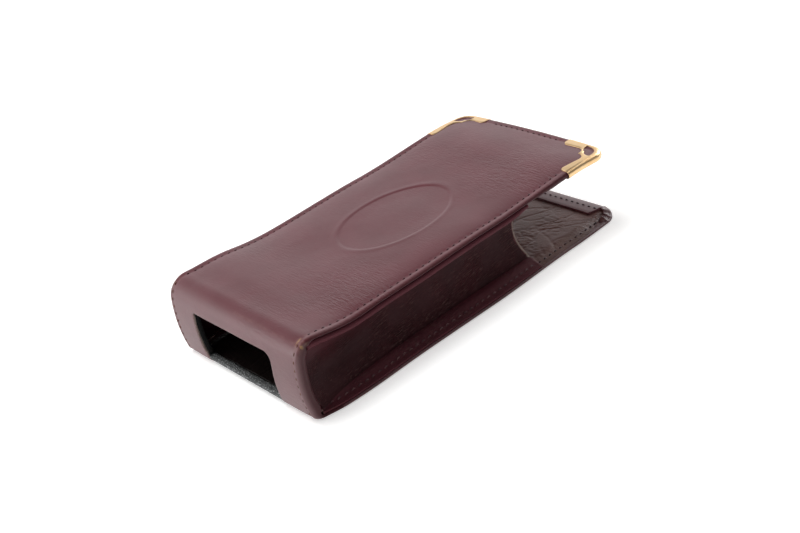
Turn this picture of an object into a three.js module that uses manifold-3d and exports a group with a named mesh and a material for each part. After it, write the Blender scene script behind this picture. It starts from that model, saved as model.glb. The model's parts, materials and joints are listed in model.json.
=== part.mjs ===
// A leather sleeve for a pack of cigarettes: one strip of leather bent round a windowed end, turned over
// stiff boards and lined, with a gusset along each side and metal corners on the free front lip.
// Millimetres. X runs across the case, Y from the windowed end to the mouth, Z up from the table.
import * as THREE from 'three';
import { mergeVertices } from 'three/addons/utils/BufferGeometryUtils.js';
import Module from 'manifold-3d';

const wasm = await Module();
wasm.setup();

// Overall sizes
const CASE_LENGTH = 135.1;
const CASE_WIDTH = 66;
const FRONT_LIP_SETBACK = 3.6;
const FLEX_LINE = 97;
const FLEX_GAP = 0.8;
const BUTT_GAP = 0.3;
const TIP_CORNER_RADIUS = 4.5;

// Side view: the front panel falls from its shoulder into a sag, swells, rises to a crest and drops to its tip
const SHOULDER_HEIGHT = 25.8;
const SHOULDER_TILT = THREE.MathUtils.degToRad(6);
const SAG_HEIGHT = 24.1;
const SWELL_HEIGHT = 25.1;
const SWELL_PLACE = 78.5;
const CREST_HEIGHT = 26.9;
const CREST_PLACE = 118.5;
const TIP_HEIGHT = 26.4;
const END_WALL_RADIUS = 46;
const END_BELLY_HEIGHT = 13.1;
const TOP_BEND_RADIUS = 6.1;
const BOTTOM_BEND_RADIUS = 2.8;

// Layers of a panel, from the outside in
const SKIN = 0.7;
const GLUE_LINE = 0.1;
const BOARD_MARGIN = 0.6;
const TURN_IN = 0.5;
const LINING = 0.5;
const TURN_IN_WIDTH = 8;
const LINING_INSET = 1.4;
const HEM_WIDTH = 7.5;
const HEM_END_INSET = 6;
const HEM = 0.5;

// Window at the end, open down to the base, and the binding of the base's raw edge there
const WINDOW_WIDTH = 40;
const WINDOW_TOP = 20;
const WINDOW_CORNER_RADIUS = 3;
const WINDOW_BOARD_CLEARANCE = 1;
const BINDING = 0.5;
const BINDING_TAIL = 6;
const BINDING_CLEARANCE = 0.3;

// Oval pressed into the front panel
const OVAL_LENGTH = 46;
const OVAL_WIDTH = 28.5;
const OVAL_PLACE = 68;
const OVAL_DEPTH = 0.25;

// Gussets
const GUSSET = 0.8;
const GUSSET_FOLD_RADIUS = 1;
const FLANGE_INSET = 1.4;
const GUSSET_INSET_AT_END = 4.2;
const GUSSET_INSET_AT_MOUTH = 6;
const GUSSET_MOUTH_CLEARANCE = 0.4;
const SCOOP_DEPTH = 6.3;
const SCOOP_HALF_HEIGHT = 13;
const SCOOP_HEIGHT = 15.5;

// Metal corners, with sizes measured inwards from the lip's two edges
const SHEET = 0.45;
const SHEET_CLEARANCE = 0.1;
const SHEET_BEND_RADIUS = 1;
const SIDE_ARM = 18.5;
const TIP_ARM = 16.5;
const ARM_WIDTH = 4.6;
const ARM_WAIST = 3.2;
const ARM_END_ROUND = 2;
const CUSP_PLACE = 6.7;
const STEP_PLACE = 9;
const HOLE_NEAR = 2.2;
const HOLE_FAR = 6.6;
const HOLE_WAIST = 5.4;
const CRIMP_WIDTH = 3;

// Fineness of the facets
const RIM_STEPS = 6;
const BEND_STEPS = 8;
const FRONT_STEPS = 16;
const LIP_STEPS = 6;
const CORNER_STEPS = 5;
const OVAL_STEPS = 20;
const CURVE_STEPS = 12;
const OVERRUN = 1;
const RIM_FLAT_SHARE = 0.15;
const OVAL_END_SHARE = 0.99;
const LEAST = 0.03;

// Depths below the outer face at which the layers begin and end
const BOARD_TOP = SKIN + GLUE_LINE;
const POCKET_BOTTOM = BOARD_TOP + BOARD_MARGIN + GLUE_LINE;
const RIM = POCKET_BOTTOM + TURN_IN;
const LINING_TOP = RIM + GLUE_LINE;
const PANEL = LINING_TOP + LINING;
const HEM_TOP = PANEL + GLUE_LINE;
const HEM_BOTTOM = HEM_TOP + HEM;
const FLANGE_TOP = PANEL + GLUE_LINE;

// Places along Y and the circles of the end: the wall's arc is tangent to the bend above it and the one below
const HALF_WIDTH = CASE_WIDTH / 2;
const END_Y = -CASE_LENGTH / 2;
const BACK_TIP_Y = CASE_LENGTH / 2;
const FRONT_TIP_Y = BACK_TIP_Y - FRONT_LIP_SETBACK;
const FLEX_Y = END_Y + FLEX_LINE;
const SWELL_Y = END_Y + SWELL_PLACE;
const CREST_Y = END_Y + CREST_PLACE;
const OVAL_Y = END_Y + OVAL_PLACE;
const wallCentre = { y: END_Y + END_WALL_RADIUS, z: END_BELLY_HEIGHT, radius: END_WALL_RADIUS };
const topBend = bendInside(TOP_BEND_RADIUS, SHOULDER_HEIGHT - TOP_BEND_RADIUS);
const bottomBend = bendInside(BOTTOM_BEND_RADIUS, BOTTOM_BEND_RADIUS);
const SHOULDER_Y = topBend.y + TOP_BEND_RADIUS * Math.sin(SHOULDER_TILT);
const SHOULDER_Z = topBend.z + TOP_BEND_RADIUS * Math.cos(SHOULDER_TILT);
const SAG_Y = SHOULDER_Y + 2 * (SHOULDER_Z - SAG_HEIGHT) / Math.tan(SHOULDER_TILT);

// A circle of the given radius whose centre is at height z and which touches the end wall's arc from inside
function bendInside(radius, z) {
  const reach = Math.sqrt((wallCentre.radius - radius) ** 2 - (z - wallCentre.z) ** 2);
  return { y: wallCentre.y - reach, z, radius };
}

// Height of the front panel's outer face
function frontHeight(y) {
  const fall = Math.max(0, (SAG_Y - y) / (SAG_Y - SHOULDER_Y));
  return SAG_HEIGHT + (SHOULDER_Z - SAG_HEIGHT) * fall ** 2
    + (SWELL_HEIGHT - SAG_HEIGHT) * THREE.MathUtils.smoothstep(y, SAG_Y, SWELL_Y)
    + (CREST_HEIGHT - SWELL_HEIGHT) * THREE.MathUtils.smoothstep(y, SWELL_Y, CREST_Y)
    + (TIP_HEIGHT - CREST_HEIGHT) * THREE.MathUtils.smoothstep(y, CREST_Y, FRONT_TIP_Y);
}

// Stations of the outer face in the YZ plane: a point and the direction that faces out of the leather.
// Every path runs the same way: down the front panel to the end, down the end wall and out along the back.
function frontStation(y) {
  const reach = 0.01;
  const slope = (frontHeight(y + reach) - frontHeight(y - reach)) / (2 * reach);
  const size = Math.hypot(slope, 1);
  return { y, z: frontHeight(y), outY: -slope / size, outZ: 1 / size };
}

function backStation(y) {
  return { y, z: 0, outY: 0, outZ: -1 };
}

function arcStation(circle, angle) {
  const outY = Math.cos(angle);
  const outZ = Math.sin(angle);
  return { y: circle.y + circle.radius * outY, z: circle.z + circle.radius * outZ, outY, outZ };
}

function spread(from, to, steps) {
  return Array.from({ length: steps + 1 }, (_, i) => from + (to - from) * i / steps);
}

const wallTopAngle = Math.PI - Math.atan2(topBend.z - wallCentre.z, wallCentre.y - topBend.y);
const wallBottomAngle = Math.PI + Math.atan2(wallCentre.z - bottomBend.z, wallCentre.y - bottomBend.y);
const frontPath = spread(FLEX_Y - FLEX_GAP / 2, SHOULDER_Y, FRONT_STEPS).map(frontStation);
const topBendPath = spread(Math.PI / 2 - SHOULDER_TILT, wallTopAngle, BEND_STEPS)
  .map((angle) => arcStation(topBend, angle));
const wallPath = spread(wallTopAngle, wallBottomAngle, BEND_STEPS)
  .map((angle) => arcStation(wallCentre, angle));
const bottomBendPath = spread(wallBottomAngle, 1.5 * Math.PI, BEND_STEPS)
  .map((angle) => arcStation(bottomBend, angle));
const backPath = [bottomBend.y, FLEX_Y - FLEX_GAP / 2].map(backStation);
const frontInnerPath = spread(FLEX_Y - FLEX_GAP / 2, SHOULDER_Y + BUTT_GAP, FRONT_STEPS).map(frontStation);
const endPath = [...topBendPath, ...wallPath.slice(1)];
const wrapPath = [...frontPath, ...topBendPath.slice(1), ...wallPath.slice(1), ...bottomBendPath.slice(1),
  ...backPath.slice(1)];

// The same path with one more station past each end, for cuts that run out of a piece
function overrun(path) {
  const beyond = (last, before) => {
    const scale = OVERRUN / Math.hypot(last.y - before.y, last.z - before.z);
    return { ...last, y: last.y + (last.y - before.y) * scale, z: last.z + (last.z - before.z) * scale };
  };
  return [beyond(path[0], path[1]), ...path, beyond(path.at(-1), path.at(-2))];
}

function solidFrom(geometry) {
  geometry.deleteAttribute('normal');
  geometry.deleteAttribute('uv');
  const merged = mergeVertices(geometry);
  const vertProperties = new Float32Array(merged.attributes.position.array);
  const triVerts = new Uint32Array(merged.index.array);
  return new wasm.Manifold(new wasm.Mesh({ numProp: 3, vertProperties, triVerts }));
}

function geometryFrom(solid) {
  const mesh = solid.getMesh();
  const geometry = new THREE.BufferGeometry();
  geometry.setAttribute('position', new THREE.BufferAttribute(mesh.vertProperties, 3));
  geometry.setIndex(new THREE.BufferAttribute(mesh.triVerts, 1));
  return geometry;
}

// A closed skin through one loop of [x, depth] points at each station, with flat ends
function loft(path, loopAt) {
  const loops = path.map(loopAt);
  const count = loops[0].length;
  const position = loops.flatMap((loop, row) => loop.flatMap(([x, depth]) => {
    const at = path[row];
    return [x, at.y - depth * at.outY, at.z - depth * at.outZ];
  }));
  const index = [];
  for (let row = 1; row < path.length; row += 1) {
    for (let i = 0; i < count; i += 1) {
      const next = (i + 1) % count;
      const [a, b] = [(row - 1) * count + i, (row - 1) * count + next];
      const [c, d] = [row * count + i, row * count + next];
      index.push(a, c, b, b, c, d);
    }
  }
  const capOf = (loop) => THREE.ShapeUtils.triangulateShape(loop.map(([x, y]) => new THREE.Vector2(x, y)), []);
  const lastRow = (path.length - 1) * count;
  capOf(loops[0]).forEach((face) => index.push(...face));
  capOf(loops.at(-1)).forEach((face) => index.push(...face.map((i) => lastRow + i).reverse()));
  const geometry = new THREE.BufferGeometry();
  geometry.setAttribute('position', new THREE.Float32BufferAttribute(position, 3));
  geometry.setIndex(index);
  return solidFrom(geometry);
}

function rectangle(left, right, top, bottom) {
  return [[left, top], [right, top], [right, bottom], [left, bottom]];
}

// A rectangle of [x, depth] whose four corners are rounded
function rounded(halfWidth, top, bottom, radius) {
  const corner = (x, depth, from) => spread(from, from + Math.PI / 2, RIM_STEPS / 2)
    .map((angle) => [x + radius * Math.cos(angle), depth + radius * Math.sin(angle)]);
  const side = halfWidth - radius;
  return [
    ...corner(side, top + radius, -Math.PI / 2), ...corner(side, bottom - radius, 0),
    ...corner(-side, bottom - radius, Math.PI / 2), ...corner(-side, top + radius, Math.PI),
  ];
}

// A layer of constant width along a path
function layer(path, halfWidth, top, bottom) {
  return loft(path, () => rectangle(-halfWidth, halfWidth, top, bottom));
}

// Turns for prisms: a shape drawn in [y, z] is carried along X from a start, one drawn in [x, z] back along Y
// and one drawn in [from the side, from the tip] of the right-hand lip corner up along Z
function alongX(start) {
  return new THREE.Matrix4().set(0, 0, 1, start, 1, 0, 0, 0, 0, 1, 0, 0, 0, 0, 0, 1);
}

function backAlongY(start) {
  return new THREE.Matrix4().set(1, 0, 0, 0, 0, 0, -1, start, 0, 1, 0, 0, 0, 0, 0, 1);
}

function upFromCorner(start) {
  return new THREE.Matrix4().set(-1, 0, 0, HALF_WIDTH, 0, -1, 0, FRONT_TIP_Y, 0, 0, 1, start, 0, 0, 0, 1);
}

function prism(shape, length, placing) {
  const options = { depth: length, bevelEnabled: false, curveSegments: CURVE_STEPS };
  return solidFrom(new THREE.ExtrudeGeometry(shape, options).applyMatrix4(placing));
}

// The window's opening, grown on every side, from outside the end wall to the inner end of the bottom bend
function windowCut(grow) {
  const half = WINDOW_WIDTH / 2 + grow;
  const top = WINDOW_TOP + grow;
  const shape = new THREE.Shape();
  shape.moveTo(-half, -OVERRUN);
  shape.lineTo(half, -OVERRUN);
  const across = half - WINDOW_CORNER_RADIUS;
  const up = top - WINDOW_CORNER_RADIUS;
  shape.absarc(across, up, WINDOW_CORNER_RADIUS, 0, Math.PI / 2);
  shape.absarc(-across, up, WINDOW_CORNER_RADIUS, Math.PI / 2, Math.PI);
  const reach = bottomBend.y - END_Y + OVERRUN;
  return prism(shape, reach, backAlongY(bottomBend.y));
}

// The pressed oval: its half width at each station follows the ellipse
function ovalCut() {
  const path = spread(-1, 1, OVAL_STEPS).map((turn) => {
    const place = Math.sin(turn * OVAL_END_SHARE * Math.PI / 2);
    return { ...frontStation(OVAL_Y - place * OVAL_LENGTH / 2), place };
  });
  return loft(path, ({ place }) => {
    const half = OVAL_WIDTH / 2 * Math.sqrt(1 - place ** 2);
    return rectangle(-half, half, -OVERRUN, OVAL_DEPTH);
  });
}

function outerWrap() {
  return loft(wrapPath, () => rounded(HALF_WIDTH, 0, RIM, RIM / 2))
    .subtract(layer(overrun(wrapPath), HALF_WIDTH - SKIN, SKIN, POCKET_BOTTOM))
    .subtract(layer(overrun(wrapPath), HALF_WIDTH - TURN_IN_WIDTH, SKIN, RIM + GLUE_LINE))
    .subtract(windowCut(0))
    .subtract(ovalCut());
}

// A stiffener: a thin margin under the turned edges and a full middle between them
function board(path) {
  return layer(path, HALF_WIDTH - BOARD_TOP, BOARD_TOP, BOARD_TOP + BOARD_MARGIN)
    .add(layer(path, HALF_WIDTH - TURN_IN_WIDTH - GLUE_LINE, BOARD_TOP, RIM));
}

function lining(path) {
  return layer(path, HALF_WIDTH - LINING_INSET, LINING_TOP, PANEL);
}

function endPiece(piece, clearance) {
  return piece.subtract(windowCut(clearance));
}

// The strip over the base's raw edge: a face across the edge and a tail that lies on the lining
function baseEdgeBinding() {
  const face = bottomBend.y - BINDING_CLEARANCE;
  const shape = new THREE.Shape();
  shape.moveTo(face - BINDING, GLUE_LINE);
  shape.lineTo(face, GLUE_LINE);
  shape.lineTo(face, HEM_TOP);
  shape.lineTo(face + BINDING_TAIL, HEM_TOP);
  shape.lineTo(face + BINDING_TAIL, HEM_BOTTOM);
  shape.lineTo(face - BINDING, HEM_BOTTOM);
  const length = WINDOW_WIDTH - 2 * BINDING_CLEARANCE;
  return prism(shape, length, alongX(-length / 2));
}

// A lip is drawn by the distance from its tip. Both lips share their outline and differ in their stations.
const frontLip = {
  stationAt: (fromTip) => frontStation(FRONT_TIP_Y - fromTip),
  length: FRONT_TIP_Y - FLEX_Y - FLEX_GAP / 2,
  runsFromTip: true,
};
const backLip = {
  stationAt: (fromTip) => backStation(BACK_TIP_Y - fromTip),
  length: BACK_TIP_Y - FLEX_Y - FLEX_GAP / 2,
  runsFromTip: false,
};

// How far a quarter circle stands back from its tangent line at a distance along it
function roundBack(radius, along) {
  const rest = Math.max(0, radius - along);
  return radius - Math.sqrt(radius ** 2 - rest ** 2);
}

// A slab of a lip between two depths, set in from the lip's outline, with its rim rounded by a radius
function lipSlab(lip, { inset = 0, top, bottom, rim = 0, halfWidth = CASE_WIDTH, length = lip.length }) {
  const cornerRadius = TIP_CORNER_RADIUS - inset;
  const rimPlaces = rim === 0 ? [0] : spread(RIM_FLAT_SHARE, 1, RIM_STEPS / 2)
    .map((share) => rim * (1 - Math.cos(share * Math.PI / 2)));
  const cornerPlaces = spread(rim, cornerRadius, CORNER_STEPS).slice(1);
  const restPlaces = spread(cornerRadius, length - inset, LIP_STEPS).slice(1);
  const path = [...rimPlaces, ...cornerPlaces, ...restPlaces]
    .map((place) => ({ ...lip.stationAt(inset + place), place }));
  const loopAt = ({ place }) => {
    const back = rim > 0 ? roundBack(rim, place) : 0;
    const outline = HALF_WIDTH - inset - roundBack(cornerRadius, Math.max(place, LEAST));
    const half = Math.min(halfWidth, outline);
    if (rim === 0) return rectangle(-half, half, top, bottom);
    return rounded(half, top + back, bottom - back, Math.max(rim - back, LEAST));
  };
  return loft(lip.runsFromTip ? path : path.reverse(), loopAt);
}

// The leather of a lip: a turned rim round the board, and a hem at the tip that folds over the lining
function lipLeather(lip) {
  const open = lip.length + OVERRUN;
  const foldRadius = HEM_BOTTOM / 2;
  return lipSlab(lip, { top: 0, bottom: RIM, rim: RIM / 2 })
    .add(lipSlab(lip, {
      top: 0, bottom: HEM_BOTTOM, rim: foldRadius, halfWidth: HALF_WIDTH - HEM_END_INSET, length: HEM_WIDTH,
    }))
    .subtract(lipSlab(lip, { inset: SKIN, top: SKIN, bottom: POCKET_BOTTOM, length: open }))
    .subtract(lipSlab(lip, {
      inset: SKIN, top: SKIN, bottom: RIM + GLUE_LINE, halfWidth: HALF_WIDTH - TURN_IN_WIDTH, length: open,
    }))
    .subtract(lipSlab(lip, { inset: LINING_INSET - GLUE_LINE, top: RIM, bottom: HEM_TOP, length: open }));
}

function lipBoard(lip) {
  const inset = BOARD_TOP;
  return lipSlab(lip, { inset, top: BOARD_TOP, bottom: BOARD_TOP + BOARD_MARGIN })
    .add(lipSlab(lip, {
      inset, top: BOARD_TOP, bottom: RIM, halfWidth: HALF_WIDTH - TURN_IN_WIDTH - GLUE_LINE,
    }));
}

function lipLining(lip) {
  return lipSlab(lip, { inset: LINING_INSET, top: LINING_TOP, bottom: PANEL });
}

// Outline of a metal corner in [from the side, from the tip]: two round-ended arms that step back to a cusp on
// the diagonal, and a fan-shaped hole by the corner
function cornerOutline() {
  const outside = -2 * SHEET;
  const shape = new THREE.Shape();
  shape.moveTo(outside, outside);
  shape.lineTo(TIP_ARM, outside);
  shape.lineTo(TIP_ARM, ARM_WIDTH - ARM_END_ROUND);
  shape.quadraticCurveTo(TIP_ARM, ARM_WIDTH, TIP_ARM - ARM_END_ROUND, ARM_WIDTH);
  shape.lineTo(STEP_PLACE, ARM_WAIST);
  shape.quadraticCurveTo(CUSP_PLACE, ARM_WAIST, CUSP_PLACE, CUSP_PLACE);
  shape.quadraticCurveTo(ARM_WAIST, CUSP_PLACE, ARM_WAIST, STEP_PLACE);
  shape.lineTo(ARM_WIDTH, SIDE_ARM - ARM_END_ROUND);
  shape.quadraticCurveTo(ARM_WIDTH, SIDE_ARM, ARM_WIDTH - ARM_END_ROUND, SIDE_ARM);
  shape.lineTo(outside, SIDE_ARM);
  const hole = new THREE.Path();
  hole.moveTo(HOLE_FAR, HOLE_NEAR);
  hole.quadraticCurveTo(HOLE_NEAR, HOLE_NEAR, HOLE_NEAR, HOLE_FAR);
  hole.quadraticCurveTo(HOLE_WAIST, HOLE_FAR, HOLE_WAIST, HOLE_WAIST);
  hole.quadraticCurveTo(HOLE_FAR, HOLE_WAIST, HOLE_FAR, HOLE_NEAR);
  shape.holes.push(hole);
  return shape;
}

function crimpOutline() {
  const outside = -2 * SHEET;
  const shape = new THREE.Shape();
  shape.moveTo(outside, outside);
  shape.lineTo(TIP_ARM, outside);
  shape.lineTo(TIP_ARM, CRIMP_WIDTH);
  shape.lineTo(CRIMP_WIDTH, CRIMP_WIDTH);
  shape.lineTo(CRIMP_WIDTH, SIDE_ARM);
  shape.lineTo(outside, SIDE_ARM);
  return shape;
}

// The right-hand metal corner: a sheet shell over the lip's rim, kept inside its outlines above and below
function rightCornerMount() {
  const length = SIDE_ARM + 2 * OVERRUN;
  const shell = (grow, rim) => lipSlab(frontLip, {
    inset: -SHEET_CLEARANCE - grow,
    top: -SHEET_CLEARANCE - grow,
    bottom: HEM_BOTTOM + SHEET_CLEARANCE + grow,
    rim,
    length,
  });
  const sheet = shell(SHEET, SHEET_BEND_RADIUS + SHEET).subtract(shell(0, SHEET_BEND_RADIUS));
  const middle = TIP_HEIGHT - HEM_BOTTOM / 2;
  const reach = PANEL + HEM_BOTTOM;
  const above = prism(cornerOutline(), reach, upFromCorner(middle));
  const below = prism(crimpOutline(), reach, upFromCorner(middle - reach));
  return sheet.intersect(above.add(below));
}

// The right-hand gusset: a channel whose flanges lie on the two linings, closed by a flange on the end wall and
// scooped at the mouth
function rightGusset() {
  const edge = HALF_WIDTH - FLANGE_INSET;
  const mouth = FLEX_Y - GUSSET_MOUTH_CLEARANCE - FLEX_GAP / 2;
  const end = END_Y + RIM;
  const outer = GUSSET_FOLD_RADIUS + GUSSET;
  const insetAt = (y) => THREE.MathUtils.mapLinear(y, end, mouth, GUSSET_INSET_AT_END, GUSSET_INSET_AT_MOUTH);
  const path = spread(mouth, end, FRONT_STEPS).map((y) => ({ y, z: 0, outY: 0, outZ: -1 }));
  const quarter = (x, z, radius, from, turn) => spread(from, from + turn, RIM_STEPS / 2)
    .map((angle) => [x + radius * Math.cos(angle), z + radius * Math.sin(angle)]);
  const channel = loft(path.reverse(), ({ y }) => {
    const fold = HALF_WIDTH - insetAt(y) + GUSSET_FOLD_RADIUS;
    const low = FLANGE_TOP;
    const high = frontHeight(Math.max(y, SHOULDER_Y)) - FLANGE_TOP;
    return [
      [edge, low], [edge, low + GUSSET],
      ...quarter(fold, low + outer, GUSSET_FOLD_RADIUS, 1.5 * Math.PI, -Math.PI / 2),
      ...quarter(fold, high - outer, GUSSET_FOLD_RADIUS, Math.PI, -Math.PI / 2),
      [edge, high - GUSSET], [edge, high],
      ...quarter(fold, high - outer, outer, Math.PI / 2, Math.PI / 2),
      ...quarter(fold, low + outer, outer, Math.PI, Math.PI / 2),
    ];
  });
  const inside = HALF_WIDTH - GUSSET_INSET_AT_END - GUSSET;
  const endFlange = loft(endPath, () => rectangle(inside, edge, FLANGE_TOP, FLANGE_TOP + GUSSET));
  const caseWall = layer(overrun([frontPath.at(-2), ...endPath, ...bottomBendPath.slice(1)]), CASE_WIDTH,
    -OVERRUN, FLANGE_TOP);
  const scoop = new THREE.Shape();
  scoop.absellipse(mouth, SCOOP_HEIGHT, SCOOP_DEPTH, SCOOP_HALF_HEIGHT, 0, 2 * Math.PI);
  return channel.add(endFlange).subtract(caseWall).subtract(prism(scoop, CASE_WIDTH, alongX(0)));
}

// The left-hand twin of a right-hand piece: mirrored in X, with its faces turned to point out again
function mirrored(geometry) {
  const twin = geometry.clone().scale(-1, 1, 1);
  twin.index.array.reverse();
  return twin;
}

const BURGUNDY_LEATHER = { color: 0x80666a, roughness: 0.5, metalness: 0 };
const DARK_LEATHER = { color: 0x3a2226, roughness: 0.55, metalness: 0 };
const LINING_LEATHER = { color: 0x5a4a4a, roughness: 0.6, metalness: 0 };
const BLACK_LINING = { color: 0x1c1b1b, roughness: 0.9, metalness: 0 };
const GREY_BOARD = { color: 0x8f8a80, roughness: 0.95, metalness: 0 };
const GILT_SHEET = { color: 0xe8c080, roughness: 0.25, metalness: 1 };

const leatherCase = new THREE.Group();

function addPiece(name, geometry, finish) {
  const mesh = new THREE.Mesh(geometry, new THREE.MeshStandardMaterial(finish));
  mesh.name = name;
  leatherCase.add(mesh);
}

const rightCorner = geometryFrom(rightCornerMount());
const gusset = geometryFrom(rightGusset());
addPiece('outer_wrap', geometryFrom(outerWrap()), BURGUNDY_LEATHER);
addPiece('front_board', geometryFrom(board(frontInnerPath)), GREY_BOARD);
addPiece('end_board', geometryFrom(endPiece(board(endPath), WINDOW_BOARD_CLEARANCE)), GREY_BOARD);
addPiece('back_board', geometryFrom(board(backPath)), GREY_BOARD);
addPiece('front_lining', geometryFrom(lining(frontInnerPath)), LINING_LEATHER);
addPiece('end_lining', geometryFrom(endPiece(lining(endPath), 0)), BLACK_LINING);
addPiece('back_lining', geometryFrom(lining(backPath)), LINING_LEATHER);
addPiece('base_edge_binding', geometryFrom(baseEdgeBinding()), BLACK_LINING);
addPiece('right_gusset', gusset, DARK_LEATHER);
addPiece('left_gusset', mirrored(gusset), DARK_LEATHER);
addPiece('front_lip_leather', geometryFrom(lipLeather(frontLip)), BURGUNDY_LEATHER);
addPiece('front_lip_board', geometryFrom(lipBoard(frontLip)), GREY_BOARD);
addPiece('front_lip_lining', geometryFrom(lipLining(frontLip)), LINING_LEATHER);
addPiece('right_corner_mount', rightCorner, GILT_SHEET);
addPiece('left_corner_mount', mirrored(rightCorner), GILT_SHEET);
addPiece('back_lip_leather', geometryFrom(lipLeather(backLip)), BURGUNDY_LEATHER);
addPiece('back_lip_board', geometryFrom(lipBoard(backLip)), GREY_BOARD);
addPiece('back_lip_lining', geometryFrom(lipLining(backLip)), LINING_LEATHER);

export default leatherCase;
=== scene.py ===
"""Dresses the leather cigarette case: turned and sewn leather, creased lining, thread and gilt corners, on a
pale floor in soft light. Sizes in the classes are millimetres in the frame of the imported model."""

import json
import logging
import math
from dataclasses import dataclass, replace
from enum import Enum, IntEnum

import bpy
import numpy as np
from bpy.types import Material, Mesh, Node, NodeSocket, NodeTree, Object
from mathutils import Matrix, Vector


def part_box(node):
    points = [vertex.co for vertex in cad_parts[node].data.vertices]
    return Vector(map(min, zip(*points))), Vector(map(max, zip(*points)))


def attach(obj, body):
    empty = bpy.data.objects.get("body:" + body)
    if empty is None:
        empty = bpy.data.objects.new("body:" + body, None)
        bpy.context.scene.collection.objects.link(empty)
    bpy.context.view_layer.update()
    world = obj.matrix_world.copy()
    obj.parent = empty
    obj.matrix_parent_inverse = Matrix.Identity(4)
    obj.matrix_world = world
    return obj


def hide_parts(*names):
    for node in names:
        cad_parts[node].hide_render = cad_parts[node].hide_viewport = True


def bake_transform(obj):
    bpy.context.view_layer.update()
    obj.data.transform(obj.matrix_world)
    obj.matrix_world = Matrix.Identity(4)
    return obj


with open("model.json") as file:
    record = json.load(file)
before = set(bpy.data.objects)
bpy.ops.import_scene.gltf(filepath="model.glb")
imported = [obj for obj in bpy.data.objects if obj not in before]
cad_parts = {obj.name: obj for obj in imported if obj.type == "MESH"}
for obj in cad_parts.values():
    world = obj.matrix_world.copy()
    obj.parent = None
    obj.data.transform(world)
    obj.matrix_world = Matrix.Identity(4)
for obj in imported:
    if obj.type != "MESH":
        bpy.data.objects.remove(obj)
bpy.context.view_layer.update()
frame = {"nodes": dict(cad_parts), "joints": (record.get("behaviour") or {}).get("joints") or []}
LOG = logging.getLogger("cigarette_case")
MM = 0.001
Array = np.ndarray

# Most pairs are where something begins and where it is full
Pair = tuple[float, float]
Triple = tuple[float, float, float]

TINY = 1e-9
WAVE_COUNT = 9
WAVE_LENGTHS = (0.6, 1.5)
SECOND_CREASES = 0.7
BEYOND_TIP = 6.0
STATION_STEP = 0.2
WELD_DIGITS = 4
EDGE_SEGMENTS = 2
EDGE_ANGLE = math.radians(50)
RGBA = {"data_type": "RGBA"}

# The wave texture's bands are this many times finer than its scale
BANDS_PER_UNIT = 20

# Least squares under a root, so that an arc runs on a little past its end
LEAST_SQUARE_END = 0.01
LEAST_SQUARE_TOP = 0.05


class Body(Enum):
    """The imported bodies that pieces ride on."""

    CASE = "case"
    FRONT_LIP = "front_lip"
    BACK_LIP = "back_lip"


class Slot(Enum):
    """The record's material slots."""

    BURGUNDY = "burgundy_leather"
    GUSSET = "gusset_leather"
    LINING = "lining_leather"
    BLACK = "black_lining"
    BOARD = "stiffener_board"
    GILT = "gilt_metal"


class Side(Enum):
    """The two long sides, by the sign of X."""

    RIGHT = 1
    LEFT = -1


# Shapes of curves, as whole arrays

def smoothstep(low: float, high: float, value: Array) -> Array:
    """Rises from 0 at low to 1 at high along 3t^2 - 2t^3.

    Args:
        low: Where the rise begins.
        high: Where it ends.
        value: Places to work it out at.

    Returns:
        The rise at each place.
    """
    t = np.clip((value - low) / (high - low), 0, 1)
    return t * t * (3 - 2 * t)


def bump(value: Array, middle: float, width: float) -> Array:
    """A bell of height 1: exp of minus the squared distance from the middle in widths."""
    return np.exp(-(((value - middle) / width) ** 2))


@dataclass(frozen=True)
class Ripple:
    """Soft irregular relief of a height, with waves of a typical length."""

    height: float
    length: float
    seed: int

    def at(self, u: Array, v: Array) -> Array:
        """Rise at places: the mean of a few plane waves with seeded directions, phases and lengths.

        Args:
            u: First coordinate on the surface.
            v: Second coordinate on the surface.

        Returns:
            Rise between minus the height and the height.
        """
        rng = np.random.default_rng(self.seed)
        turn, phase = rng.uniform(0, math.tau, (2, WAVE_COUNT))
        number = math.tau / self.length * rng.uniform(*WAVE_LENGTHS, WAVE_COUNT)
        across = u[..., None] * np.cos(turn) + v[..., None] * np.sin(turn)
        return self.height * np.sin(number * across + phase).mean(axis=-1)


@dataclass(frozen=True)
class Folds:
    """Fold lines of a height that wander and cross: the length of the waves that they follow, about twice the
    distance between lines, and the width of a line as a share of those waves' height."""

    height: float
    length: float
    width: float
    seed: int

    def at(self, u: Array, v: Array) -> Array:
        """Rise at places: narrow bells along the zero lines of two sets of soft waves."""
        sets = [Ripple(1.0, self.length, self.seed + k).at(u, v) for k in (0, 1)]
        first, second = (bump(waves, 0, self.width) for waves in sets)
        return self.height * np.maximum(first, SECOND_CREASES * second)


def spaced(*stops: float, step: float) -> Array:
    """Places from the first stop to the last that meet every stop, about a step apart."""
    runs = [np.linspace(a, b, max(2, round(abs(b - a) / step) + 1))[:-1] for a, b in zip(stops, stops[1:])]
    return np.concatenate([*runs, [stops[-1]]])


# Sizes of the case

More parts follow.
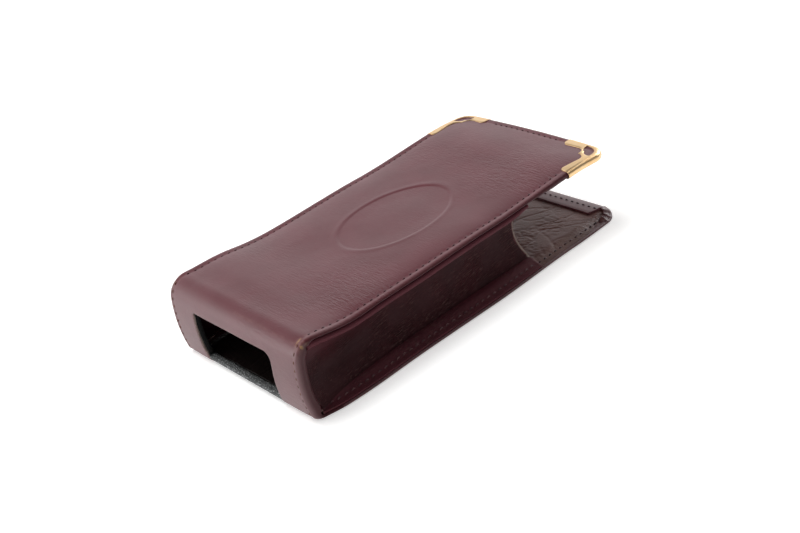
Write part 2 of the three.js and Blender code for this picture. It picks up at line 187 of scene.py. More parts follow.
@dataclass(frozen=True)
class CaseSizes:
    """Sizes that several pieces share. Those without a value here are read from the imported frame."""

    half_width: float
    end_y: float
    front_tip_y: float
    back_tip_y: float
    flex_y: float
    shoulder_height: float = 25.8
    shoulder_tilt: float = math.radians(6)
    sag_height: float = 24.1
    swell_height: float = 25.1
    swell_place: float = 78.5
    crest_height: float = 26.9
    crest_place: float = 118.5
    tip_height: float = 26.4
    wall_radius: float = 46.0
    belly_height: float = 13.1
    top_bend: float = 6.1
    bottom_bend: float = 2.8
    tip_corner: float = 5.2
    skin: float = 0.6
    board_top: float = 0.8
    rim: float = 1.1
    front_rim: float = 1.0
    wall_rim: float = 3.5
    lip_rim: float = 2.5
    sunk_edge: float = 1.45
    panel: float = 2.6
    hem_bottom: float = 2.9
    split_y: float = -57.0
    bend_before: float = 3.0
    bend_after: float = 9.0
    lining_inset: float = 0.8
    lip_thinning: float = 0.5
    tip_bow: float = 0.9
    drawn_up: float = 1.4
    twist: float = 1.0
    thinning_half: float = 7.0
    stitch_pitch: float = 2.55
    stitch_pull: float = 0.28
    seam_inset: float = 2.6
    seam_width: float = 0.5
    seam_draws: Pair = (5.5, 1.0)
    drawn_from_flex: Pair = (-10.0, 6.0)
    bow_from: Pair = (36.0, 2.0)
    twist_place: float = 13.0
    twist_length: float = 10.0
    pressed_wide: float = 1.35
    pressed_past_end: float = 13.0
    pressed_from: Pair = (14.0, 5.0)
    heel_wide: float = 0.65
    heel_place: float = 21.0
    heel_length: float = 14.0
    tip_narrower: float = 0.8
    tip_narrows_y: float = 45.0
    spread_below: Pair = (8.0, 4.0)
    cut_edge: float = 0.12
    card: float = 0.5
    card_clear: float = 0.1
    card_step: float = 3.0

    @classmethod
    def from_frame(cls) -> "CaseSizes":
        """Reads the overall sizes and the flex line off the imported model.

        Returns:
            The sizes.
        """
        wrap_low, wrap_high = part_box("outer_wrap")
        flex = next(joint for joint in frame["joints"] if joint["name"] == "front_lip_flex")
        return cls(
            half_width=wrap_high.x / MM,
            end_y=wrap_low.y / MM,
            front_tip_y=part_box("front_lip_leather")[1].y / MM,
            back_tip_y=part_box("back_lip_leather")[1].y / MM,
            flex_y=flex["pos_m"][1] / MM,
        )

    def bend_inside(self, radius: float, height: float) -> float:
        """Y of the centre of a circle at a height that touches the end wall's arc from inside."""
        reach = math.sqrt((self.wall_radius - radius) ** 2 - (height - self.belly_height) ** 2)
        return self.end_y + self.wall_radius - reach

    @property
    def wall_centre_y(self) -> float:
        """Y of the centre of the end wall's arc."""
        return self.end_y + self.wall_radius

    @property
    def top_bend_z(self) -> float:
        """Height of the centre of the bend over the end wall."""
        return self.shoulder_height - self.top_bend

    @property
    def top_bend_y(self) -> float:
        """Y of the centre of the bend over the end wall."""
        return self.bend_inside(self.top_bend, self.top_bend_z)

    @property
    def bottom_bend_y(self) -> float:
        """Y of the centre of the bend under the end wall, where the flat base begins."""
        return self.bend_inside(self.bottom_bend, self.bottom_bend)

    @property
    def shoulder(self) -> Pair:
        """Y and height at which the front panel leaves the bend."""
        y = self.top_bend_y + self.top_bend * math.sin(self.shoulder_tilt)
        return y, self.top_bend_z + self.top_bend * math.cos(self.shoulder_tilt)

    @property
    def card_depth(self) -> float:
        """Depth of the stiffeners below the outer face."""
        return self.board_top + self.card_clear

    def pulled(self, along: Array) -> Array:
        """How hard a seam draws the leather in along its length: a cosine with one crest to a stitch."""
        return 1 - self.stitch_pull + self.stitch_pull * np.cos(math.tau * along / self.stitch_pitch)

    def spread(self, y: Array) -> Array:
        """How far the back panel's edge stands out past the half width: it is pressed wide behind the end
        wall, comes back in by the flex line and narrows a little to the tip.

        Args:
            y: Places along the case.

        Returns:
            Distances past the half width.
        """
        past_flex, full_y = self.pressed_from
        wide = self.pressed_wide * smoothstep(self.end_y, self.end_y + self.pressed_past_end, y)
        wide = wide * smoothstep(self.flex_y + past_flex, full_y, y)
        heel = self.heel_wide * bump(y, self.end_y + self.heel_place, self.heel_length)
        return wide + heel - self.tip_narrower * smoothstep(self.tip_narrows_y, self.back_tip_y, y)

    def spread_out(self, points: Array) -> Array:
        """Widens points near the table in proportion, so that the back panel's edge stands out."""
        share = smoothstep(*self.spread_below, points[..., 2])
        wider = 1 + share * self.spread(points[..., 1]) / self.half_width
        return points * np.stack([wider, np.ones_like(wider), np.ones_like(wider)], -1)

    def edge_dip(self, inset: Array) -> Array:
        """How far the layers on the back panel sink towards its edge, where the seam draws them together."""
        return self.sunk_edge * smoothstep(*self.seam_draws, inset)

    def edge_lift(self, inset: Array, before_flex: Array) -> Array:
        """How far the layers under the front panel are drawn up by its side seams, inside the flex line."""
        drawn = self.drawn_up * smoothstep(*self.seam_draws, inset)
        return drawn * smoothstep(*self.drawn_from_flex, before_flex)

    def thinner(self, s: Array, flex: float) -> Array:
        """How much thinner the front panel is at arc lengths s: pared down on the lip past its flex line."""
        return self.lip_thinning * smoothstep(flex + self.thinning_half, flex - self.thinning_half, s)

    def bow(self, x: Array, s: Array) -> Array:
        """How far the front is bowed up: its lip most in the middle of the tip, as a parabola across, and the
        panel by its twist."""
        lip = self.tip_bow * (1 - (x / self.half_width) ** 2) * smoothstep(*self.bow_from, s)
        return lip + self.twisted(x, self.front_tip_y - s)

    def twisted(self, x: Array, y: Array) -> Array:
        """How far the front panel is twisted behind the end bend: down on the right, up on the left."""
        along = bump(y, self.shoulder[0] + self.twist_place, self.twist_length)
        return -self.twist * x / self.half_width * along

    def front_height(self, y: Array) -> Array:
        """Height of the front panel's outer face: a parabola from the shoulder into the sag, then three
        smooth steps up to the swell, up to the crest and down to the tip.

        Args:
            y: Places along the case.

        Returns:
            Heights of the outer face.
        """
        shoulder_y, shoulder_z = self.shoulder
        sag_y = shoulder_y + 2 * (shoulder_z - self.sag_height) / math.tan(self.shoulder_tilt)
        swell_y = self.end_y + self.swell_place
        crest_y = self.end_y + self.crest_place
        fall = np.maximum(0, (sag_y - y) / (sag_y - shoulder_y))
        return (
            self.sag_height + (shoulder_z - self.sag_height) * fall ** 2
            + (self.swell_height - self.sag_height) * smoothstep(sag_y, swell_y, y)
            + (self.crest_height - self.swell_height) * smoothstep(swell_y, crest_y, y)
            + (self.tip_height - self.crest_height) * smoothstep(crest_y, self.front_tip_y, y)
        )


@dataclass(frozen=True)
class Strip:
    """One run of leather in side view: stations by arc length from its tip, and the way out of it."""

    s: Array
    y: Array
    z: Array
    out_y: Array
    out_z: Array

    def at(self, s: Array, depth: Array | float) -> tuple[Array, Array]:
        """Places below the outer face: the station at arc length s, less depth times the way out.

        Args:
            s: Arc lengths from the tip.
            depth: Depths below the outer face.

        Returns:
            Y and Z of the places.
        """
        y, z, out_y, out_z = (np.interp(s, self.s, a) for a in (self.y, self.z, self.out_y, self.out_z))
        return y - depth * out_y, z - depth * out_z

    def way_out(self, s: Array) -> Array:
        """Unit vectors out of the leather at arc lengths s."""
        out_y, out_z = (np.interp(s, self.s, out) for out in (self.out_y, self.out_z))
        out = np.stack([np.zeros_like(s), out_y, out_z], -1)
        return out / np.linalg.norm(out, axis=-1, keepdims=True)


@dataclass(frozen=True)
class FrontRun:
    """The front strip and the arc lengths of its landmarks."""

    strip: Strip
    flex: float
    shoulder: float
    wall_top: float
    base: float
    end: float


def front_run(case: CaseSizes) -> FrontRun:
    """Lays the strip out from the front tip down over the end wall and a little way under the base: the front
    face's height curve, then three arcs that touch each other, then a straight.

    Args:
        case: Sizes of the case.

    Returns:
        The strip with its landmarks.
    """
    shoulder_y, _ = case.shoulder
    face_y = spaced(case.front_tip_y + BEYOND_TIP, case.front_tip_y, shoulder_y, step=STATION_STEP)
    top_y, top_z = case.top_bend_y, case.top_bend_z
    low_y = case.bottom_bend_y
    wall_top = math.pi - math.atan2(top_z - case.belly_height, case.wall_centre_y - top_y)
    wall_low = math.pi + math.atan2(case.belly_height - case.bottom_bend, case.wall_centre_y - low_y)
    arcs = [
        (top_y, top_z, case.top_bend, math.pi / 2 - case.shoulder_tilt, wall_top),
        (case.wall_centre_y, case.belly_height, case.wall_radius, wall_top, wall_low),
        (low_y, case.bottom_bend, case.bottom_bend, wall_low, 1.5 * math.pi),
    ]
    ys, zs, counts = [face_y], [case.front_height(face_y)], [len(face_y)]
    for y, z, radius, start, stop in arcs:
        turn = np.linspace(start, stop, round((stop - start) * radius / STATION_STEP) + 2)[1:]
        ys.append(y + radius * np.cos(turn))
        zs.append(z + radius * np.sin(turn))
        counts.append(len(turn))
    under = spaced(low_y, case.split_y, step=STATION_STEP)[1:]
    y = np.concatenate([*ys, under])
    z = np.concatenate([*zs, np.zeros_like(under)])
    s = np.concatenate([[0], np.cumsum(np.hypot(np.diff(y), np.diff(z)))])
    tip, flex = np.interp([-case.front_tip_y, -case.flex_y], -face_y, s[: len(face_y)])
    s -= tip
    landmarks = s[np.cumsum(counts) - 1]
    strip = Strip(s, y, z, np.gradient(z, s), -np.gradient(y, s))
    return FrontRun(strip, flex - tip, landmarks[0], landmarks[1], landmarks[3], s[-1])


def back_strip(case: CaseSizes, stop_y: float) -> Strip:
    """The flat underside from past the back tip to a stop: a straight line whose way out is down."""
    y = spaced(case.back_tip_y + BEYOND_TIP, stop_y, step=STATION_STEP)
    return Strip(case.back_tip_y - y, y, np.zeros_like(y), np.zeros_like(y), -np.ones_like(y))


# Sheets with turned edges

@dataclass(frozen=True)
class SheetGrid:
    """A laid-out sheet: across, along from the tip, depth, distance in from the outline, and the lap, which
    is 0 on the face, 1 where the edge has rolled right over and 2 at the end of what is turned in; then the
    place along the nearest edge, and where the point's row meets the face."""

    x: Array
    s: Array
    depth: Array
    inset: Array
    lap: Array
    along: Array
    row: Array

    def placed(self, strip: Strip, rise: Array | float = 0.0) -> Array:
        """Points of the sheet on a strip, raised out of the leather by a relief."""
        y, z = strip.at(self.s, self.depth - rise)
        return np.stack([self.x, y, z], -1)


@dataclass(frozen=True)
class TurnedSheet:
    """Outline of a panel: straight sides, a tip with round corners, and an edge that may roll over."""

    half_width: float
    corner: float
    roll: float = 0.0
    side_thickness: float = 0.0
    tip_thickness: float = 0.0
    side_turn_in: float = 1.8
    hem: float = 6.2
    hem_half: float = 27.0
    mitre: float = 1.8
    roll_steps: int = 9
    lap_steps: int = 4
    tip_from: Pair = (0.2, 0.85)

    def grid(self, across: Array, along: Array, inset: float = 0.0) -> SheetGrid:
        """Lays the sheet out. Near a tip corner the square grid is drawn into a quarter disc: the larger of
        the two distances from the corner's centre gives the radius and their ratio the angle. Past the
        outline the edge goes over half an ellipse and runs back in, by as much as is turned in there.

        Args:
            across: X of the columns on the face, from one roll to the other.
            along: Distances of the rows on the face from the tip.
            inset: How far the sheet's own outline stands in from the panel's.

        Returns:
            The grid, rows along and columns across.
        """
        laps = np.array([])
        if self.roll:
            rolled = np.linspace(0, 1, self.roll_steps + 1)[1:]
            laps = np.concatenate([rolled, 1 + np.linspace(0, 1, self.lap_steps + 1)[1:]])
        still = np.zeros(len(laps))
        x_face = np.concatenate([across[0] + still, across, across[-1] + still])
        s_face = np.concatenate([along[0] + still, along])
        x_lap = np.concatenate([laps[::-1], np.zeros(len(across)), laps])
        s_lap = np.concatenate([laps[::-1], np.zeros(len(along))])
        radius = self.corner - self.roll - inset
        centre_x = self.half_width - self.corner
        a = ((np.abs(x_face) - centre_x) / radius + x_lap)[None, :]
        b = ((self.corner - s_face) / radius + s_lap)[:, None]
        x_grid = np.broadcast_to(np.abs(x_face)[None, :], (len(s_face), len(x_face)))
        s_grid = np.broadcast_to(s_face[:, None], x_grid.shape)
        larger = np.maximum(a, b)
        ratio = np.maximum(np.minimum(a, b), 0) / np.maximum(larger, TINY)
        angle = np.where(a >= b, math.pi / 4 * ratio, math.pi / 2 - math.pi / 4 * ratio)
        lap = np.clip(larger - 1, 0, 2)
        rolled, turned = np.minimum(lap, 1), np.clip(lap - 1, 0, 1)
        to_tip = smoothstep(*self.tip_from, angle / (math.pi / 2))
        thickness = self.side_thickness + (self.tip_thickness - self.side_thickness) * to_tip
        mitred = np.clip((self.hem_half + self.mitre - x_grid) / self.mitre, 0, 1)
        hem = self.side_turn_in + (self.hem - self.side_turn_in) * mitred
        turn_in = np.where(b > a, hem, self.side_turn_in)
        reach = radius * np.minimum(larger, 1)
        out = reach + self.roll * np.sin(math.pi * rolled) - turned * turn_in
        x = np.where(a > 0, centre_x + out * np.cos(angle), x_grid)
        s = np.where(b > 0, self.corner - out * np.sin(angle), s_grid)
        return SheetGrid(
            x=np.sign(x_face)[None, :] * x,
            s=s,
            depth=thickness / 2 * (1 - np.cos(math.pi * rolled)),
            inset=np.where(larger > 0, self.corner - reach, np.minimum(self.half_width - x_grid, s_grid)),
            lap=lap,
            along=np.where(b > a, x_grid, s_grid),
            row=s_grid,
        )

    def plain(self, inset: float, stop: float, step: float) -> SheetGrid:
        """Lays a flat sheet out from the tip to a stop, set in from the outline."""
        face = self.half_width - inset
        return self.grid(spaced(-face, face, step=step), spaced(inset, stop, step=step), inset=inset)


# Meshes

def add_object(mesh: Mesh, *materials: Material) -> Object:
    """Puts a mesh into the scene under its own name, with its materials.

    Args:
        mesh: The mesh.
        *materials: Its materials.

    Returns:
        The object.
    """
    for material in materials:
        mesh.materials.append(material)
    made = bpy.data.objects.new(mesh.name, mesh)
    bpy.context.scene.collection.objects.link(made)
    return made


def mesh_from(name: str, points: Array, quads: Array) -> Mesh:
    """A smooth-shaded mesh of quads.

    Args:
        name: Name of the mesh.
        points: Vertices in millimetres, one row each.
        quads: Vertex numbers, four to a row.

    Returns:
        The mesh, in metres.
    """
    mesh = bpy.data.meshes.new(name)
    mesh.vertices.add(len(points))
    mesh.vertices.foreach_set("co", (points * MM).astype(np.float32).ravel())
    mesh.loops.add(quads.size)
    mesh.loops.foreach_set("vertex_index", quads.astype(np.int32).ravel())
    mesh.polygons.add(len(quads))
    mesh.polygons.foreach_set("loop_start", np.arange(0, quads.size, 4, dtype=np.int32))
    mesh.polygons.foreach_set("use_smooth", np.ones(len(quads), bool))
    mesh.update(calc_edges=True)
    mesh.validate()
    return mesh


def sheet_mesh(
    name: str,
    points: Array,
    flip: bool = False,
    keep: Array | None = None,
    marks: dict[str, Array] | None = None,
    weld: bool = False,
) -> Mesh:
    """A sheet of quads through a grid of points.

    Args:
        name: Name of the mesh.
        points: Grid of points in millimetres, rows by columns by three.
        flip: Turns the faces over.
        keep: Which quads are kept, rows less one by columns less one.
        marks: Numbers stored on the points under a name, each a grid.
        weld: Joins points that lie in one place.

    Returns:
        The mesh, without the points that no quad uses.
    """
    rows, columns = points.shape[:2]
    number = np.arange(rows * columns)
    if weld:
        near = np.round(points.reshape(-1, 3), WELD_DIGITS)
        _, first, same = np.unique(near, axis=0, return_index=True, return_inverse=True)
        number = first[same.ravel()]
    number = number.reshape(rows, columns)
    quads = np.stack([number[:-1, :-1], number[:-1, 1:], number[1:, 1:], number[1:, :-1]], -1)
    quads = quads.reshape(-1, 4) if keep is None else quads[keep]
    if flip:
        quads = quads[:, ::-1]
    used, renumbered = np.unique(quads, return_inverse=True)
    mesh = mesh_from(name, points.reshape(-1, 3)[used], renumbered.reshape(-1, 4))
    for mark, values in (marks or {}).items():
        layer = mesh.attributes.new(mark, "FLOAT", "POINT")
        layer.data.foreach_set("value", values.ravel()[used].astype(np.float32))
    return mesh


def thicken(piece: Object, thickness: float, edge: float = 0.0, cut_material: int = 0) -> None:
    """Gives a sheet its thickness behind its faces, and breaks its cut edges.

    Args:
        piece: The sheet.
        thickness: Thickness in millimetres.
        edge: Width of the broken edge in millimetres, or none.
        cut_material: Which of the piece's materials the cut edge shows.
    """
    solid = piece.modifiers.new("thickness", "SOLIDIFY")
    solid.thickness = thickness * MM
    solid.offset = -1
    solid.material_offset_rim = cut_material
    if edge:
        broken = piece.modifiers.new("broken_edge", "BEVEL")
        broken.width = edge * MM
        broken.segments = EDGE_SEGMENTS
        broken.limit_method = "ANGLE"
        broken.angle_limit = EDGE_ANGLE


def dress(piece: Object, slot: Slot, *stands_for: str) -> None:
    """Hides the CAD nodes that a piece stands for, and logs how many points it has.

    Args:
        piece: The piece.
        slot: Not used.
        *stands_for: Names of the nodes.
    """
    if stands_for:
        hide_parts(*stands_for)
    LOG.info("%s: %d points", piece.name, len(piece.data.vertices))


def bend_with(piece: Object) -> None:
    """Bakes a piece's placement into its points.

    Args:
        piece: The piece.
    """
    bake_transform(piece)


# Finishes

def linear(hex_colour: str) -> tuple[float, float, float, float]:
    """Turns an sRGB hex colour to linear light."""
    srgb = [int(hex_colour[i:i + 2], 16) / 255 for i in (1, 3, 5)]
    return (*(c / 12.92 if c <= 0.04045 else ((c + 0.055) / 1.055) ** 2.4 for c in srgb), 1.0)


def per_mm(size: float) -> float:
    """Scale of a texture whose features are a size in millimetres."""
    return 1 / (size * MM)


def add_node(tree: NodeTree, kind: str, settings: dict | None = None, **inputs) -> Node:
    """Adds one node.

    Args:
        tree: The material's or world's nodes.
        kind: The node's type, without ShaderNode.
        settings: Properties of the node.
        **inputs: Values, sockets or nodes by input name, with _ for a space and a leading i for a number. A
            node gives the first output that it has in use.

    Returns:
        The node.
    """
    made = tree.nodes.new(f"ShaderNode{kind}")
    for name, value in (settings or {}).items():
        setattr(made, name, value)
    for name, value in inputs.items():
        socket = made.inputs[int(name[1:])] if name[1:].isdigit() else made.inputs[name.replace("_", " ")]
        if isinstance(value, Node):
            value = next(output for output in value.outputs if output.enabled)
        if isinstance(value, NodeSocket):
            tree.links.new(value, socket)
        else:
            socket.default_value = value
    return made


def new_material(name: str) -> tuple[Material, NodeTree, NodeSocket]:
    """Makes an empty node material.

    Args:
        name: Its name.

    Returns:
        The material, its nodes and the place on the object.
    """
    material = bpy.data.materials.new(name)
    material.use_nodes = True
    material.node_tree.nodes.clear()
    place = add_node(material.node_tree, "TexCoord").outputs["Object"]
    return material, material.node_tree, place


@dataclass(frozen=True)
class Leather:
    """Tanned leather with a rolled, waxed face: a soft broad shine, fine grain, paler where it is worn, and
    with painted shade and painted light where it is marked for them.
    """

    name: str
    colour: str
    shade: str
    # On the linings the worn and bare colours are painted shade
    worn: str
    bare: str
    roughness: float = 0.42
    roughness_spread: Pair = (-0.06, 0.08)
    specular: float = 0.5
    ior: float = 1.5
    grain: float = 0.45
    grain_depth: float = 0.015
    wrinkle: float = 1.1
    wrinkle_depth: float = 0.14
    wrinkle_turn: Triple = (0, 0, math.radians(20))
    wrinkle_stretch: Triple = (4, 1, 1)
    patch: float = 25.0
    patch_from: Pair = (0.42, 0.62)
    slack: Pair = (0.12, 1.0)
    # Colour of the wrinkles' crests: a painted highlight
    ridge_highlight: str = "#000000"
    ridge_highlight_share: float = 0.0
    ridge_highlight_from: Pair = (0.55, 0.67)
    # Colour where the edge mark is full: edge dye with painted shade on the rolled burgundy edges, painted
    # light on the gusset
    edge: str = "#000000"
    edge_gloss: float = 1.0
    mottle: float = 14.0
    mottle_from: Pair = (0.35, 0.65)
    rub: float = 1.6
    rub_from: Pair = (0.42, 0.68)
    bare_from: Pair = (1.0, 1.8)

    def material(self) -> Material:
        """Builds the nodes: mottled colour, worn along marked edges, painted shade and painted light where
        marked, painted highlights on the wrinkles' ridges, and grain over wrinkles.

        Returns:
            The material.
        """
        material, tree, place = new_material(self.name)
        wear_and_shade, dye_and_painted_light, marked_slack = (
            add_node(tree, "Attribute", {"attribute_name": mark}).outputs["Fac"]
            for mark in ("wear_and_shade", "dye_and_painted_light", "slack")
        )
        mottle = add_node(tree, "TexNoise", Vector=place, Scale=per_mm(self.mottle), Detail=5.0)
        rub = add_node(tree, "TexNoise", Vector=place, Scale=per_mm(self.rub), Detail=6.0, Roughness=0.7)
        patches = add_node(tree, "TexNoise", Vector=place, Scale=per_mm(self.patch), Detail=2.0)
        drawn_out = add_node(
            tree, "Mapping", {"vector_type": "TEXTURE"}, Vector=place, Rotation=self.wrinkle_turn,
            Scale=self.wrinkle_stretch,
        )
        folds = add_node(
            tree, "TexNoise", Vector=drawn_out, Scale=per_mm(self.wrinkle), Detail=3.0, Distortion=0.5,
        )
        pores = add_node(
            tree, "TexVoronoi", {"feature": "SMOOTH_F1"}, Vector=place, Scale=per_mm(self.grain),
        )
        mottled, rubbing, bared = (
            add_node(tree, "MapRange", Value=value, From_Min=low, From_Max=high)
            for value, (low, high) in (
                (mottle, self.mottle_from), (rub, self.rub_from), (wear_and_shade, self.bare_from),
            )
        )
        rubbed = add_node(tree, "Math", {"operation": "MULTIPLY", "use_clamp": True}, i0=wear_and_shade, i1=rubbing)
        loose = add_node(
            tree, "MapRange", Value=patches, From_Min=self.patch_from[0], From_Max=self.patch_from[1],
            To_Min=self.slack[0], To_Max=self.slack[1],
        )
        slack = add_node(tree, "Math", {"operation": "ADD", "use_clamp": True}, i0=loose, i1=marked_slack)
        ridges = add_node(
            tree, "MapRange", Value=folds, From_Min=self.ridge_highlight_from[0], From_Max=self.ridge_highlight_from[1],
            To_Max=self.ridge_highlight_share,
        )
        raised = add_node(tree, "Math", {"operation": "MULTIPLY"}, i0=ridges, i1=slack)
        colour = linear(self.shade)
        # The worn and bare colours are real wear on the outer leathers and painted shade on the linings; the
        # edge colour is edge dye with painted shade on the burgundy and painted light on the gusset; the last
        # colour is a painted highlight on the wrinkles
        for share, over in (
            (mottled, self.colour), (rubbed, self.worn), (bared, self.bare), (dye_and_painted_light, self.edge),
            (raised, self.ridge_highlight),
        ):
            colour = add_node(tree, "Mix", RGBA, i0=share, i6=colour, i7=linear(over))
        wrinkled = add_node(tree, "Bump", Height=folds, Distance=self.wrinkle_depth * MM, Strength=slack)
        grained = add_node(
            tree, "Bump", Height=pores, Distance=self.grain_depth * MM, Strength=1.0, Normal=wrinkled,
        )
        sheen = add_node(
            tree, "MapRange", Value=dye_and_painted_light, To_Min=self.specular, To_Max=self.specular * self.edge_gloss,
        )
        gloss = add_node(
            tree, "MapRange", Value=rub, To_Min=self.roughness + self.roughness_spread[0],
            To_Max=self.roughness + self.roughness_spread[1],
        )
        shader = add_node(
            tree, "BsdfPrincipled", Base_Color=colour, Roughness=gloss, IOR=self.ior,
            Specular_IOR_Level=sheen, Normal=grained,
        )
        add_node(tree, "OutputMaterial", Surface=shader)
        return material


@dataclass(frozen=True)
class Nap:
    """Short-napped or fibrous matter, such as lining cloth, raw leather or board: matt, with paler specks."""

    name: str
    colour: str
    speck: str
    speck_size: float = 0.5
    speck_from: float = 0.6
    speck_fade: float = 0.16
    depth: float = 0.05
    roughness: float = 0.9
    ior: float = 1.45

    def material(self) -> Material:
        """Builds the nodes: a noise gives the specks and the same noise the nap.

        Returns:
            The material.
        """
        material, tree, place = new_material(self.name)
        fibre = add_node(
            tree, "TexNoise", Vector=place, Scale=per_mm(self.speck_size), Detail=5.0, Roughness=0.65,
        )
        specks = add_node(
            tree, "MapRange", Value=fibre, From_Min=self.speck_from,
            From_Max=self.speck_from + self.speck_fade,
        )
        colour = add_node(tree, "Mix", RGBA, i0=specks, i6=linear(self.colour), i7=linear(self.speck))
        nap = add_node(tree, "Bump", Height=fibre, Distance=self.depth * MM, Strength=1.0)
        shader = add_node(
            tree, "BsdfPrincipled", Base_Color=colour, Roughness=self.roughness, IOR=self.ior, Normal=nap,
        )
        add_node(tree, "OutputMaterial", Surface=shader)
        return material


@dataclass(frozen=True)
class Gilt:
    """Gold-plated pressed brass, polished on a wheel: a clear warm mirror, deeper in colour in places."""

    name: str
    colour: str
    deep: str
    roughness: float = 0.32
    cloud: float = 4.0

    def material(self) -> Material:
        """Builds the nodes: a slow noise warms the colour.

        Returns:
            The material.
        """
        material, tree, place = new_material(self.name)
        warm = add_node(tree, "TexNoise", Vector=place, Scale=per_mm(self.cloud), Detail=3.0)
        colour = add_node(tree, "Mix", RGBA, i0=warm, i6=linear(self.deep), i7=linear(self.colour))
        shader = add_node(tree, "BsdfPrincipled", Base_Color=colour, Metallic=1.0, Roughness=self.roughness)
        add_node(tree, "OutputMaterial", Surface=shader)
        return material


@dataclass(frozen=True)
class Thread:
    """Waxed three-ply sewing thread: low sheen, with the lay of its plies across each stitch and a painted
    highlight on each ply's crest.
    """

    name: str
    colour: str
    # Colour of the plies' crests: a painted highlight
    light: str
    ply: float = 0.28
    ply_depth: float = 0.05
    lay: Triple = (0.6, 0.0, 0.8)
    roughness: float = 0.6
    ior: float = 1.5

    def material(self) -> Material:
        """Builds the nodes: slanted bands for the plies, in relief and in colour, the lighter colour on their
        crests being a painted highlight.

        Returns:
            The material.
        """
        material, tree, place = new_material(self.name)
        slant = add_node(tree, "Mapping", Vector=place, Rotation=self.lay)
        plies = add_node(
            tree, "TexWave", {"wave_type": "BANDS"}, Vector=slant,
            Scale=per_mm(self.ply) / BANDS_PER_UNIT, Distortion=1.0,
        ).outputs["Fac"]
        colour = add_node(tree, "Mix", RGBA, i0=plies, i6=linear(self.colour), i7=linear(self.light))
        relief = add_node(tree, "Bump", Height=plies, Distance=self.ply_depth * MM, Strength=1.0)
        shader = add_node(
            tree, "BsdfPrincipled", Base_Color=colour, Roughness=self.roughness, IOR=self.ior,
            Normal=relief,
        )
        add_node(tree, "OutputMaterial", Surface=shader)
        return material


@dataclass(frozen=True)
class Finishes:
    """The case's materials, built once."""

    burgundy: Material
    gusset: Material
    lining: Material
    raw_edge: Material
    black: Material
    suede: Material
    board: Material
    thread: Material
    dark_thread: Material
    russet_thread: Material
    gilt: Material

    @classmethod
    def build(cls) -> "Finishes":
        """Builds every material of the case.

        Returns:
            The materials.
        """
        return cls(
            # Glazed calf, dyed through: a smooth face with a milky sheen and fine creases where it is slack
            # Its dull edge colour is edge dye, and painted shade where the rolled edges turn down away from
            # the light
            burgundy=Leather(
                "burgundy_calf", "#5f2a32", "#58262d", "#8d6a60", "#a8845c", specular=0.98, wrinkle=0.6,
                wrinkle_depth=0.3, wrinkle_turn=(0, 0, 0), slack=(0.0, 0.3), edge="#43191f", edge_gloss=0.25,
            ).material(),
            # Soft goat, hardly glazed: nearly black red, with painted highlights in pale lines along its
            # wrinkles' ridges, and a lighter wine edge colour that is painted light
            gusset=Leather(
                "gusset_goat", "#3a161b", "#2d1014", "#6a3d43", "#93817a", roughness=0.5, specular=0.12,
                grain=0.6, grain_depth=0.04, wrinkle=0.36, wrinkle_depth=0.5,
                wrinkle_turn=(math.radians(8), 0, 0), wrinkle_stretch=(1, 8, 1), patch=12.0,
                ridge_highlight="#644a46", ridge_highlight_share=0.6, edge="#5a2c34", edge_gloss=0.9,
            ).material(),
            # Thin split sheepskin: a brown, wrinkled skin with small bright folds; its worn and bare colours
            # are painted shade, near black along its edges and inside the case
            lining=Leather(
                "skiver_lining", "#643e39", "#553430", "#3a2624", "#140d0c", roughness=0.42, specular=0.36,
                grain=0.5, grain_depth=0.03, wrinkle=0.8, wrinkle_depth=0.3, wrinkle_turn=(0, 0, 0.5),
            ).material(),
            # Leather cut through: a pale fibrous line round the window
            raw_edge=Nap(
                "raw_leather_edge", "#a58b87", "#c9b5ae", speck_size=0.3, speck_from=0.45,
            ).material(),
            # Woven cotton, dyed black: no shine at all
            black=Nap(
                "black_lining_cloth", "#141313", "#3c3a3a", speck_size=0.6, speck_from=0.62,
            ).material(),
            # Brushed suede: grey specks of light on the raised nap
            suede=Nap(
                "black_suede_binding", "#444646", "#d4d6d6", speck_size=0.4, speck_from=0.53, depth=0.1,
            ).material(),
            # Pressed grey board: flat and chalky
            board=Nap("grey_board", "#8f8a80", "#a49f94", speck_size=0.8, speck_from=0.5).material(),
            # Waxed thread in three dyes: dark beads in the seams, rusty on the end, and lighter on the
            # gussets, where the lighter thread is painted light for glints on the shaded flanges
            thread=Thread("burgundy_thread", "#2e161b", "#4c2b31").material(),
            dark_thread=Thread("dark_thread", "#4a2a2e", "#6c4a4c").material(),
            russet_thread=Thread("russet_thread", "#43200f", "#653a22").material(),
            # Pressed brass with polished gold plate: a warm mirror, softened by wear
            gilt=Gilt("gilt_brass", "#f5d9ad", "#e4b67c").material(),
        )


# Sewing

